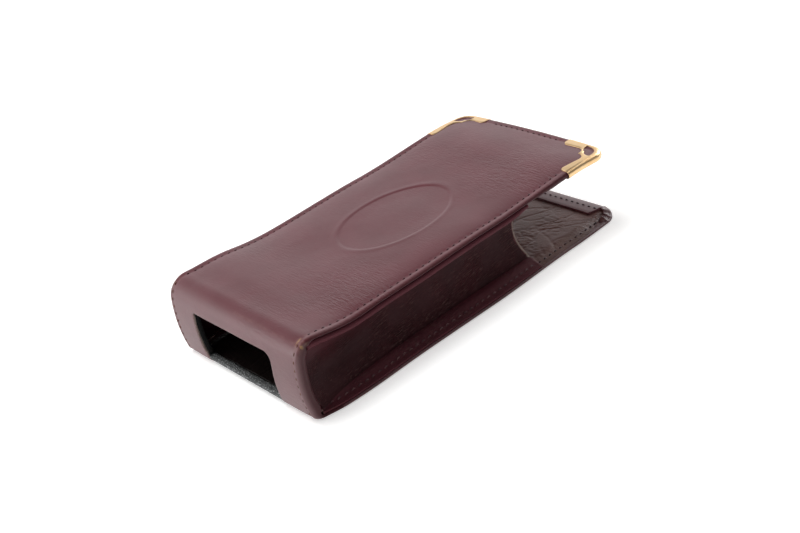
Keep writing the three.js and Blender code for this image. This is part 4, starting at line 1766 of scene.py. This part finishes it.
@dataclass
class Gusset:
    """One side wall: a channel of thin leather whose flanges lie on the linings, scooped at the mouth."""

    case: CaseSizes
    finish: Finishes
    side: Side
    thickness: float = 0.6
    cut_edge: float = 0.25
    flange_steps: int = 9
    wall_steps: int = 42
    rows: int = 150
    flange_edge: float = 32.5
    flange_clear: float = 0.06
    bead_edge: float = 31.8
    bead: float = 0.45
    bead_flat: float = 0.85
    bead_flat_from: Pair = (-8.0, -1.0)
    wall_x: float = 26.7
    wall_height: float = 26.0
    flare: float = 5.0
    flare_reach: Pair = (21.0, 7.0)
    fold: Pair = (0.9, 2.6)
    bow: float = 0.7
    bow_from_end: float = 10.0
    swell: Ripple = Ripple(0.12, 13.0, 41)
    left_swell: Ripple = Ripple(0.12, 13.0, 47)
    small_swell: Ripple = Ripple(0.12, 4.0, 43)
    small_swell_stretch: float = 0.35
    small_swell_from: Pair = (8.0, -20.0)
    mouth_y: float = 28.5
    scoop_depth: float = 3.8
    scoop_height: float = 0.68
    scoop_steeper: float = 1.55
    end_top: float = 2.6
    end_tuck: float = 1.4
    end_tuck_from: float = 0.8
    seam_start: float = 5.0
    seam_short: float = 0.5
    seam_sink: float = 0.25
    stitch_sink: float = 0.02
    mouth_wear: float = 2.5
    mouth_wear_widths: Pair = (0.95, 0.5)
    end_wear: float = 2.0
    end_wear_width: float = 0.4
    end_wear_top: float = 0.12
    smooth_from: Pair = (0.72, 0.95)
    # Painted light in a lighter wine: full on the bead's band, strong on the lower flange, which lies in
    # shade, and part way towards the smooth top
    painted_light: Triple = (1.0, 0.8, 0.45)

    @property
    def low(self) -> float:
        """Height of the lower flange's upper face before the seam draws it down."""
        return self.case.panel + self.flange_clear + self.thickness

    def end_y_at(self, z: Array) -> Array:
        """Y of the end wall's inner face at a height: the wall's arc, or the bend's above its centre.

        Args:
            z: Heights.

        Returns:
            Y at each height.
        """
        case = self.case
        inside = case.wall_rim
        wall = case.wall_centre_y - np.sqrt((case.wall_radius - inside) ** 2 - (z - case.belly_height) ** 2)
        rest = np.maximum((case.top_bend - inside) ** 2 - (z - case.top_bend_z) ** 2, LEAST_SQUARE_END)
        return np.where(z > case.top_bend_z, np.maximum(wall, case.top_bend_y - np.sqrt(rest)), wall)

    def ceiling(self, y: Array) -> Array:
        """Height of the front panel's inner face: the panel's curve, or the bend's past its centre.

        Args:
            y: Places along the case.

        Returns:
            Heights of the inner face.
        """
        case = self.case
        inside = case.panel + self.flange_clear
        rest = np.maximum((case.top_bend - inside) ** 2 - (y - case.top_bend_y) ** 2, LEAST_SQUARE_TOP)
        flat = case.front_height(np.maximum(y, case.shoulder[0])) - inside
        flat = flat + case.twisted(self.side.value * case.half_width, y)
        return np.where(y < case.top_bend_y, np.minimum(flat, case.top_bend_z + np.sqrt(rest)), flat)

    def points(self) -> tuple[Array, dict[str, Array]]:
        """The channel's outer face. A column is a place on the section, which runs up from the lower flange's
        edge over a fold, the wall and a fold to the upper flange's edge; a row is a share of the way from the
        scooped mouth to the end wall. The wall flares out to the flange's edge exponentially near the end.

        Returns:
            The points, and how worn they are, how much painted light they take and how slack they are.
        """
        case, low = self.case, self.low
        flange = np.linspace(0, 1, self.flange_steps)
        quarter = flange[1:]
        runs = [flange, quarter, np.linspace(0, 1, self.wall_steps)[1:], quarter, quarter, quarter]
        zone = np.concatenate([part + 0 * run for part, run in zip(Zone, runs)])
        within = [zone == part for part in Zone][:-1]
        share = np.concatenate(runs)[None, :]
        up = np.where(zone < Zone.WALL, 0, np.where(zone == Zone.WALL, share, 1.0))
        above = up - self.scoop_height
        away = np.where(above < 0, -above, above * self.scoop_steeper)
        mouth = self.mouth_y - self.scoop_depth * np.clip(1 - (away / self.scoop_height) ** 2, 0, 1)
        last = self.end_y_at(low + up * (case.top_bend_z + self.end_top - low))
        last = last - self.end_tuck * smoothstep(self.end_tuck_from, 1, up)
        y = mouth + (last - mouth) * np.linspace(0, 1, self.rows)[:, None]
        high = self.ceiling(y) - self.thickness
        from_end = y - last
        reach = self.flare_reach[0] + (self.flare_reach[1] - self.flare_reach[0]) * np.sin(math.pi * up)
        to_mouth = smoothstep(case.end_y, case.flex_y, y)
        radius = self.fold[0] + (self.fold[1] - self.fold[0]) * to_mouth * (zone >= Zone.UPPER_FOLD)
        foot = self.wall_x + self.flare * np.exp(-from_end / reach)
        bowed = foot - self.bow * np.sin(math.pi * up) * smoothstep(0, self.bow_from_end, from_end)
        unrolled = self.wall_height * up
        bowed = bowed + (self.swell if self.side is Side.RIGHT else self.left_swell).at(y, unrolled)
        small = self.small_swell.at(self.small_swell_stretch * y, unrolled)
        bowed = bowed + small * smoothstep(*self.small_swell_from, y - mouth)
        edge_x = np.where(zone <= Zone.LOWER_FOLD, self.flange_edge + case.spread(y), self.bead_edge)
        fold_x = np.minimum(foot + radius, edge_x)
        radius = fold_x - foot
        arc = math.pi / 2 * share
        curl = math.pi * share
        flat_y = [self.mouth_y + place for place in self.bead_flat_from]
        bead = self.bead * (1 - self.bead_flat * smoothstep(*flat_y, y))
        x = np.select(within, [
            edge_x + (fold_x - edge_x) * share,
            fold_x - radius * np.sin(arc),
            bowed,
            fold_x - radius * np.cos(arc),
            fold_x + (edge_x - fold_x) * share,
        ], edge_x + bead * np.sin(curl))
        dip = case.edge_dip(case.half_width + case.spread(y) - x)
        lift = case.edge_lift(case.half_width - np.minimum(x, edge_x), case.flex_y - y)
        z = np.select(within, [
            low - dip,
            low + radius * (1 - np.cos(arc)) - dip * (1 - share) ** 2,
            low + radius + (high - low - 2 * radius) * share,
            high - radius * (1 - np.sin(arc)),
            high + lift,
        ], high + lift - bead * (1 - np.cos(curl)))
        at_hole = 0.5 + 0.5 * np.cos(math.tau * (y - case.end_y - self.seam_start) / case.stitch_pitch)
        seam_x = case.half_width - case.seam_inset + case.spread(y)
        z = z - self.seam_sink * at_hole * bump(x, seam_x, case.seam_width) * (zone == Zone.LOWER_FLANGE)
        mouth_width = self.mouth_wear_widths[0] + (self.mouth_wear_widths[1] - self.mouth_wear_widths[0]) * up
        wear_and_shade = self.mouth_wear * bump(y - mouth, 0, mouth_width) * (zone < Zone.UPPER_FLANGE)
        by_floor = (zone <= Zone.LOWER_FOLD) | ((zone == Zone.WALL) & (up < self.end_wear_top))
        wear_and_shade = wear_and_shade + self.end_wear * bump(from_end, 0, self.end_wear_width) * by_floor
        smooth = smoothstep(*self.smooth_from, up)
        # Painted light: the bead, the shaded lower flange and the smooth top of the wall are lightened
        # towards a lighter wine
        bead_light, flange_light, top_light = self.painted_light
        dye_and_painted_light = np.where(zone == Zone.LOWER_FLANGE, flange_light, top_light * smooth)
        dye_and_painted_light = np.where(zone == Zone.BEAD, bead_light, dye_and_painted_light)
        marks = {"wear_and_shade": wear_and_shade + 0 * x, "dye_and_painted_light": dye_and_painted_light + 0 * x, "slack": -smooth + 0 * x}
        return np.stack([self.side.value * x, y + 0 * x, z], -1), marks

    def build(self) -> None:
        """Builds the gusset and sews its lower flange."""
        case, word = self.case, self.side.name.lower()
        points, marks = self.points()
        mesh = sheet_mesh(f"gusset_{word}", points, self.side is Side.LEFT, None, marks)
        piece = add_object(mesh, self.finish.gusset)
        thicken(piece, self.thickness, edge=self.cut_edge)
        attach(piece, Body.CASE.value)
        dress(piece, Slot.GUSSET, f"{word}_gusset")
        y = seam_places(case.end_y + self.seam_start, self.mouth_y - self.seam_short, case.stitch_pitch)
        x = self.side.value * (case.half_width - case.seam_inset + case.spread(y))
        z = np.full_like(y, self.low - float(case.edge_dip(case.seam_inset)) - self.stitch_sink)
        ways, outs = np.tile([0, 1.0, 0], (len(y), 1)), np.tile([0, 0, 1.0], (len(y), 1))
        thread = Stitch().row(
            f"thread_gusset_{word}", np.stack([x, y, z], -1), ways, outs, self.finish.dark_thread,
        )
        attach(thread, Body.CASE.value)
        dress(thread, Slot.GUSSET)


# Metal corners

def quadratic(start: tuple, control: tuple, stop: tuple, t: Array) -> Array:
    """Points of a quadratic curve: its ends and control weighted by (1-t)^2, t^2 and 2t(1-t)."""
    ends = np.outer((1 - t) ** 2, start) + np.outer(t ** 2, stop)
    return ends + np.outer(2 * t * (1 - t), control)


@dataclass(frozen=True)
class Arm:
    """One arm of a metal corner: its length from the corner, its width at the end and at the waist, and how
    far from the corner the brace leaves it."""

    length: float
    width: float
    waist: float
    step: float


@dataclass
class CornerMount:
    """One gilt corner: sheet pressed over the lip, with two arms, a braced inner edge and a fan-shaped hole.
    The plate's rows stand at shares of the way between two edges, which turn down by shares of a drop."""

    case: CaseSizes
    run: FrontRun
    finish: Finishes
    side: Side
    side_arm: Arm = Arm(18.8, 3.6, 2.7, 10.6)
    tip_arm: Arm = Arm(14.2, 4.2, 3.8, 8.6)
    uneven: float = 0.9
    sheet: float = 0.25
    clearance: float = 0.08
    end_round: float = 1.5
    cusp: Pair = (5.7, 7.4)
    brace_start: float = 0.3
    brace_bulge: float = 0.4
    hole_lead: float = 0.3
    hole_opens: float = 0.4
    hole_near: float = 1.5
    hole_far: float = 6.9
    hole_waist: float = 5.0
    seam_share: float = 0.65
    edge_round: float = 1.2
    edge_drop: float = 0.9
    belly: float = 0.05
    turned_down: float = 0.1
    crimp: float = 2.4
    crimp_steps: int = 3
    bend_steps: int = 9
    side_steps: int = 7
    end_steps: int = 8
    arm_steps: tuple[int, int, int] = (14, 7, 20)
    plate_rows: tuple[float, ...] = (0, 0, 0.1, 0.37, 0.63, 0.9, 1, 1)
    plate_drops: tuple[float, ...] = (1, 0.45, 0, 0, 0, 0, 0, 0)

    def outer_edge(self, length: float, run: Array) -> Array:
        """Points of the lip's outline at distances from an arm's end: straight, then round the corner.

        Args:
            length: Length of the arm.
            run: Distances from its end.

        Returns:
            The points, one row each.
        """
        corner = self.case.tip_corner
        turn = np.clip((run - length + corner) / corner, 0, math.pi / 4)
        straight = np.stack([0 * run, length - run], -1)
        bend = corner - corner * np.stack([np.cos(turn), np.sin(turn)], -1)
        return np.where((turn > 0)[:, None], bend, straight)

    def half(self, arm: Arm, cusp: Pair) -> list[Array]:
        """Four lines of one arm, point for point, from its end to the corner's diagonal, in [from the arm's
        side, from the other side]: the outline, the hole's outer and inner edge, which are one line where
        there is no hole, and the inner edge with its step and its cusp.

        Args:
            arm: Sizes of the arm.
            cusp: Place of the brace's point.

        Returns:
            The four lines.
        """
        round_in = np.linspace(0, math.pi / 2, self.end_steps)
        straight, stepped, holed = (np.linspace(0, 1, count)[1:] for count in self.arm_steps)
        end = np.stack([
            arm.width - self.end_round * (1 - np.sin(round_in)),
            arm.length - self.end_round * (1 - np.cos(round_in)),
        ], -1)
        shaft = np.stack([
            arm.width + (arm.waist - arm.width) * straight,
            end[-1, 1] + (arm.step - end[-1, 1]) * straight,
        ], -1)
        begun = self.brace_start
        brace_t = np.concatenate([begun * stepped, begun + (1 - begun) * holed])
        brace = quadratic((arm.waist, arm.step), (arm.waist + self.brace_bulge, cusp[1]), cusp, brace_t)
        inner = np.concatenate([end, shaft, brace])
        before, corner = len(end) + len(shaft), self.case.tip_corner
        hole_starts = arm.length - self.hole_far + self.hole_lead
        whole = arm.length - corner + corner * math.pi / 4
        run = np.concatenate([
            arm.length - inner[:before, 1],
            arm.length - arm.step + (hole_starts - arm.length + arm.step) * stepped,
            hole_starts + (whole - hole_starts) * holed,
        ])
        outer = self.outer_edge(arm.length, run)
        middle = outer[:before] + (inner[:before] - outer[:before]) * self.seam_share
        tip = np.array([self.hole_near, self.hole_far])
        lead = middle[-1] + (tip - middle[-1]) * stepped[:, None]
        near, far, waist = self.hole_near, self.hole_far, self.hole_waist
        hole_out = quadratic((near, far), (near, near), (far, near), holed / 2)
        hole_in = quadratic((near, far), (waist, far), (waist, waist), holed)
        return [outer, *(np.concatenate([middle, lead, edge]) for edge in (hole_out, hole_in)), inner]

    def section(self) -> tuple[Array, Array]:
        """The bent edge in section: a quarter ellipse over the lip's edge, a side with a slight belly, a
        quarter ellipse under it and the crimp in under the lip.

        Returns:
            How far out from the lip's outline each point is, and how deep below the leather's face.
        """
        reach = self.clearance + self.sheet
        bottom = self.case.panel - self.case.lip_thinning + reach
        over = np.linspace(0, math.pi / 2, self.bend_steps + 1)[1:]
        side = np.linspace(0, 1, self.side_steps + 1)[1:]
        low = bottom - self.edge_drop
        out = np.concatenate([
            -self.edge_round + (self.edge_round + reach) * np.sin(over),
            reach + self.belly * np.sin(math.pi * side),
            -self.edge_round + (self.edge_round + reach) * np.cos(over),
            -self.edge_round - np.linspace(0, 1, self.crimp_steps + 1)[1:] * self.crimp,
        ])
        depth = np.concatenate([
            -reach + (self.edge_drop + reach) * (1 - np.cos(over)),
            self.edge_drop + (low - self.edge_drop) * side,
            low + self.edge_drop * np.sin(over),
            np.full(self.crimp_steps, bottom),
        ])
        return out, depth

    def build(self) -> None:
        """Builds the corner: columns run from one arm's end to the other's; rows from the plate's inner edge
        past the hole to the bent edge. The plate's own edges are turned down into the leather."""
        case = self.case
        tip_arm = replace(self.tip_arm, length=self.tip_arm.length + self.side.value * self.uneven)
        halves = zip(self.half(self.side_arm, self.cusp), self.half(tip_arm, self.cusp[::-1]))
        outer, hole_out, hole_in, inner = (np.concatenate([a, b[::-1][1:, ::-1]]) for a, b in halves)
        way = np.gradient(outer, axis=0)
        normal = -np.abs(way[:, ::-1]) / np.linalg.norm(way, axis=1, keepdims=True)
        reach = self.clearance + self.sheet
        out, depth = self.section()
        across = np.array(self.plate_rows)[:, None, None]
        down = np.array(self.plate_drops)[:, None]
        holed = np.clip(np.linalg.norm(hole_in - hole_out, axis=1) / self.hole_opens, 0, 1)
        rim = outer - self.edge_round * normal
        plan = np.concatenate([
            inner + (hole_in - inner) * across,
            hole_out + (rim - hole_out) * across[:-1],
            outer + normal * out[:, None, None],
        ])
        drop = np.concatenate([down + down[::-1] * holed, down[:-1] * holed])
        sunk = -reach + (reach + self.turned_down) * drop
        deep = np.concatenate([sunk, depth[:, None] + 0 * plan[-len(depth):, :, 0]])
        x = case.half_width - plan[..., 0]
        y, z = self.run.strip.at(plan[..., 1], deep - case.bow(x, plan[..., 1]))
        points = np.stack([self.side.value * x, y, z], -1)
        keep = np.ones((points.shape[0] - 1, points.shape[1] - 1), bool)
        keep[len(across) - 1] = False
        word = self.side.name.lower()
        mesh = sheet_mesh(f"gilt_corner_{word}", points, self.side is Side.RIGHT, keep, weld=True)
        piece = add_object(mesh, self.finish.gilt)
        thicken(piece, self.sheet)
        piece.modifiers.new("flat_faces", "WEIGHTED_NORMAL")
        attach(piece, Body.FRONT_LIP.value)
        dress(piece, Slot.GILT, f"{word}_corner_mount")


# Binding of the base's raw edge in the window

@dataclass
class BaseBinding:
    """The napped strip folded over the base's raw edge at the foot of the window."""

    case: CaseSizes
    run: FrontRun
    finish: Finishes
    half_length: float = 20.2
    thickness: float = 0.5
    height: float = 2.9
    depth: float = -0.03
    bend: float = 0.6
    tail: float = 1.6
    under: float = 1.0
    step: float = 0.5
    rise_steps: int = 14
    bend_steps: int = 6
    tail_steps: int = 3
    fray: Ripple = Ripple(0.12, 3.5, 51)
    fine_fray: Ripple = Ripple(0.08, 1.3, 52)
    fray_from: Pair = (1.5, 3.0)
    fray_out: float = 0.3

    def build(self) -> None:
        """Builds the strip: its section follows the end wall's foot up from the base, goes over a quarter
        circle and back along the lining."""
        strip, run = self.run.strip, self.run
        foot = (strip.s > run.wall_top) & (strip.s < run.base)
        top = float(np.interp(-(self.height - self.bend), -strip.z[foot], strip.s[foot]))
        up_y, up_z = strip.at(np.linspace(run.base + self.under, top, self.rise_steps), self.depth)
        turn = np.linspace(0, math.pi / 2, self.bend_steps + 1)[1:]
        over_y, over_z = up_y[-1] + self.bend * (1 - np.cos(turn)), up_z[-1] + self.bend * np.sin(turn)
        back_y = over_y[-1] + np.linspace(0, self.tail, self.tail_steps + 1)[1:]
        y_line = np.concatenate([up_y, over_y, back_y])
        z_line = np.concatenate([up_z, over_z, np.full(self.tail_steps, over_z[-1])])
        x_line = spaced(-self.half_length, self.half_length, step=self.step)
        x, y = np.meshgrid(x_line, y_line)
        z = np.broadcast_to(z_line[:, None], x.shape)
        frayed = self.fray.at(x, 2 * z + y) + self.fine_fray.at(x, 2 * z)
        raised = z + frayed * smoothstep(*self.fray_from, z)
        points = np.stack([x, y + self.fray_out * frayed, raised], -1)
        piece = add_object(sheet_mesh("base_binding", points), self.finish.suede)
        thicken(piece, self.thickness)
        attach(piece, Body.CASE.value)
        dress(piece, Slot.BLACK, "base_edge_binding")


# Studio

@dataclass(frozen=True)
class SoftBox:
    """A square lamp: where it hangs and how wide it is in metres, its watts, and whether it shows in what
    shines."""

    name: str
    place: Triple
    size: float
    power: float
    mirrored: bool = True


@dataclass
class Studio:
    """Camera at the photograph's angle, a pale floor and soft lamps."""

    azimuth: float = math.radians(54.23)
    elevation: float = math.radians(29.28)
    roll: float = math.radians(-12.41)
    distance: float = 401.8
    target: Triple = (-0.8, -1.97, 6.9)
    focal_pixels: float = 1246.0
    frame_pixels: float = 800.0
    sensor: float = 36.0
    clip: Pair = (0.01, 50.0)
    floor_colour: str = "#e6e5e4"
    floor_half: float = 3000.0
    floor_below: float = 0.05
    floor_lift: float = 0.46
    bright_below: float = 0.45
    dim_above: float = 0.72
    white_from: float = 0.25
    white_at: float = 0.6
    horizon: float = 1.15
    zenith: float = 0.08
    dim_side: Triple = (0.95, 0.3, 0.0)
    dim_side_from: Pair = (-0.1, 0.9)
    dim_share: float = 0.2
    aim: Triple = (0, 0, 0.01)
    lamps: tuple[SoftBox, ...] = (
        SoftBox("softbox_overhead", (-0.25, -0.2, 1.0), 0.5, 7.5, mirrored=False),
        SoftBox("softbox_edge", (0.25, 0.55, 0.92), 0.35, 0.8),
        SoftBox("softbox_end", (-0.5, -0.9, 0.3), 0.6, 2.2),
        SoftBox("softbox_mouth", (-0.1, 1.0, 0.45), 0.5, 4.0),
    )

    def camera(self) -> None:
        """Places the camera: it looks back along its azimuth and elevation and is rolled about that line."""
        a, e, r = self.azimuth, self.elevation, self.roll
        right = Vector((math.cos(a), math.sin(a), 0))
        up = Vector((-math.sin(a) * math.sin(e), math.cos(a) * math.sin(e), math.cos(e)))
        back = right.cross(up)
        across = right * math.cos(r) + up * math.sin(r)
        upward = up * math.cos(r) - right * math.sin(r)
        data = bpy.data.cameras.new("camera")
        data.sensor_width = self.sensor
        data.lens = self.focal_pixels * self.sensor / self.frame_pixels
        data.clip_start, data.clip_end = self.clip
        camera = bpy.data.objects.new("camera", data)
        bpy.context.scene.collection.objects.link(camera)
        place = (Vector(self.target) + back * self.distance) * MM
        turned = Matrix((across, upward, back)).transposed().to_4x4()
        camera.matrix_world = Matrix.Translation(place) @ turned
        bpy.context.scene.camera = camera

    def floor(self) -> None:
        """Lays the floor, which the camera sees as white wherever no shadow falls, and far from the case."""
        half, z = self.floor_half, -self.floor_below
        points = np.array([[-half, -half, z], [half, -half, z], [half, half, z], [-half, half, z]])
        material, tree, place = new_material("white_floor")
        matt = add_node(tree, "BsdfDiffuse", Color=linear(self.floor_colour))
        path = add_node(tree, "LightPath")
        seen = add_node(
            tree, "Math", {"operation": "MAXIMUM"},
            i0=path.outputs["Is Camera Ray"], i1=path.outputs["Is Glossy Ray"],
        )
        away = add_node(tree, "VectorMath", {"operation": "LENGTH"}, i0=place)
        far = add_node(
            tree, "MapRange", Value=away.outputs["Value"], From_Min=self.white_from,
            From_Max=self.white_at, To_Max=1 - self.floor_lift,
        )
        more = add_node(tree, "Math", {"operation": "MULTIPLY"}, i0=far, i1=path.outputs["Is Camera Ray"])
        lift = add_node(tree, "Math", {"operation": "MULTIPLY_ADD"}, i0=seen, i1=self.floor_lift, i2=more)
        glow = add_node(tree, "Emission", Color=(1, 1, 1, 1), Strength=lift)
        both = add_node(tree, "AddShader", i0=matt, i1=glow)
        add_node(tree, "OutputMaterial", Surface=both)
        add_object(mesh_from("floor", points, np.array([[0, 1, 2, 3]])), material)

    def hang(self, box: SoftBox) -> None:
        """Hangs a soft box so that it faces the case.

        Args:
            box: The soft box.
        """
        data = bpy.data.lights.new(box.name, "AREA")
        data.size = box.size
        data.energy = box.power
        lamp = bpy.data.objects.new(box.name, data)
        bpy.context.scene.collection.objects.link(lamp)
        lamp.visible_glossy = box.mirrored
        lamp.location = box.place
        lamp.rotation_mode = "QUATERNION"
        lamp.rotation_quaternion = (Vector(self.aim) - Vector(box.place)).to_track_quat("-Z", "Y")

    def world(self) -> None:
        """Fills the surroundings with light: white near the horizon, dim overhead and on one side. The camera
        sees them as white."""
        world = bpy.data.worlds.new("studio")
        world.use_nodes = True
        tree = world.node_tree
        tree.nodes.clear()
        place = add_node(tree, "TexCoord").outputs["Object"]
        high = add_node(
            tree, "MapRange", {"interpolation_type": "SMOOTHSTEP"},
            Value=add_node(tree, "SeparateXYZ", Vector=place).outputs["Z"],
            From_Min=self.bright_below, From_Max=self.dim_above, To_Min=self.horizon, To_Max=self.zenith,
        )
        aside = add_node(tree, "VectorMath", {"operation": "DOT_PRODUCT"}, i0=place, i1=self.dim_side)
        shaded = add_node(
            tree, "MapRange", {"interpolation_type": "SMOOTHSTEP"}, Value=aside.outputs["Value"],
            From_Min=self.dim_side_from[0], From_Max=self.dim_side_from[1], To_Min=1.0, To_Max=self.dim_share,
        )
        strength = add_node(tree, "Math", {"operation": "MULTIPLY"}, i0=high, i1=shaded)
        seen = add_node(tree, "LightPath").outputs["Is Camera Ray"]
        shown = add_node(tree, "MapRange", Value=seen, To_Min=strength, To_Max=1.0)
        light = add_node(tree, "Background", Color=(1, 1, 1, 1), Strength=shown)
        add_node(tree, "OutputWorld", Surface=light)
        bpy.context.scene.world = world

    def build(self) -> None:
        """Sets the whole studio up."""
        self.camera()
        self.floor()
        self.world()
        for box in self.lamps:
            self.hang(box)
        bpy.context.scene.view_settings.view_transform = "Standard"


def main() -> None:
    """Builds the studio and the case, piece by piece."""
    logging.basicConfig(level=logging.INFO, format="%(message)s")
    Studio().build()
    case = CaseSizes.from_frame()
    finish = Finishes.build()
    run = front_run(case)
    FrontPanel(case, run, finish).build()
    BackPanel(case, finish).build()
    for side in Side:
        Gusset(case, finish, side).build()
        CornerMount(case, run, finish, side).build()
    BaseBinding(case, run, finish).build()
    end_board = frame["nodes"]["end_board"]
    end_board.data.materials.clear()
    end_board.data.materials.append(finish.board)


if __name__ == "__main__":
    main()
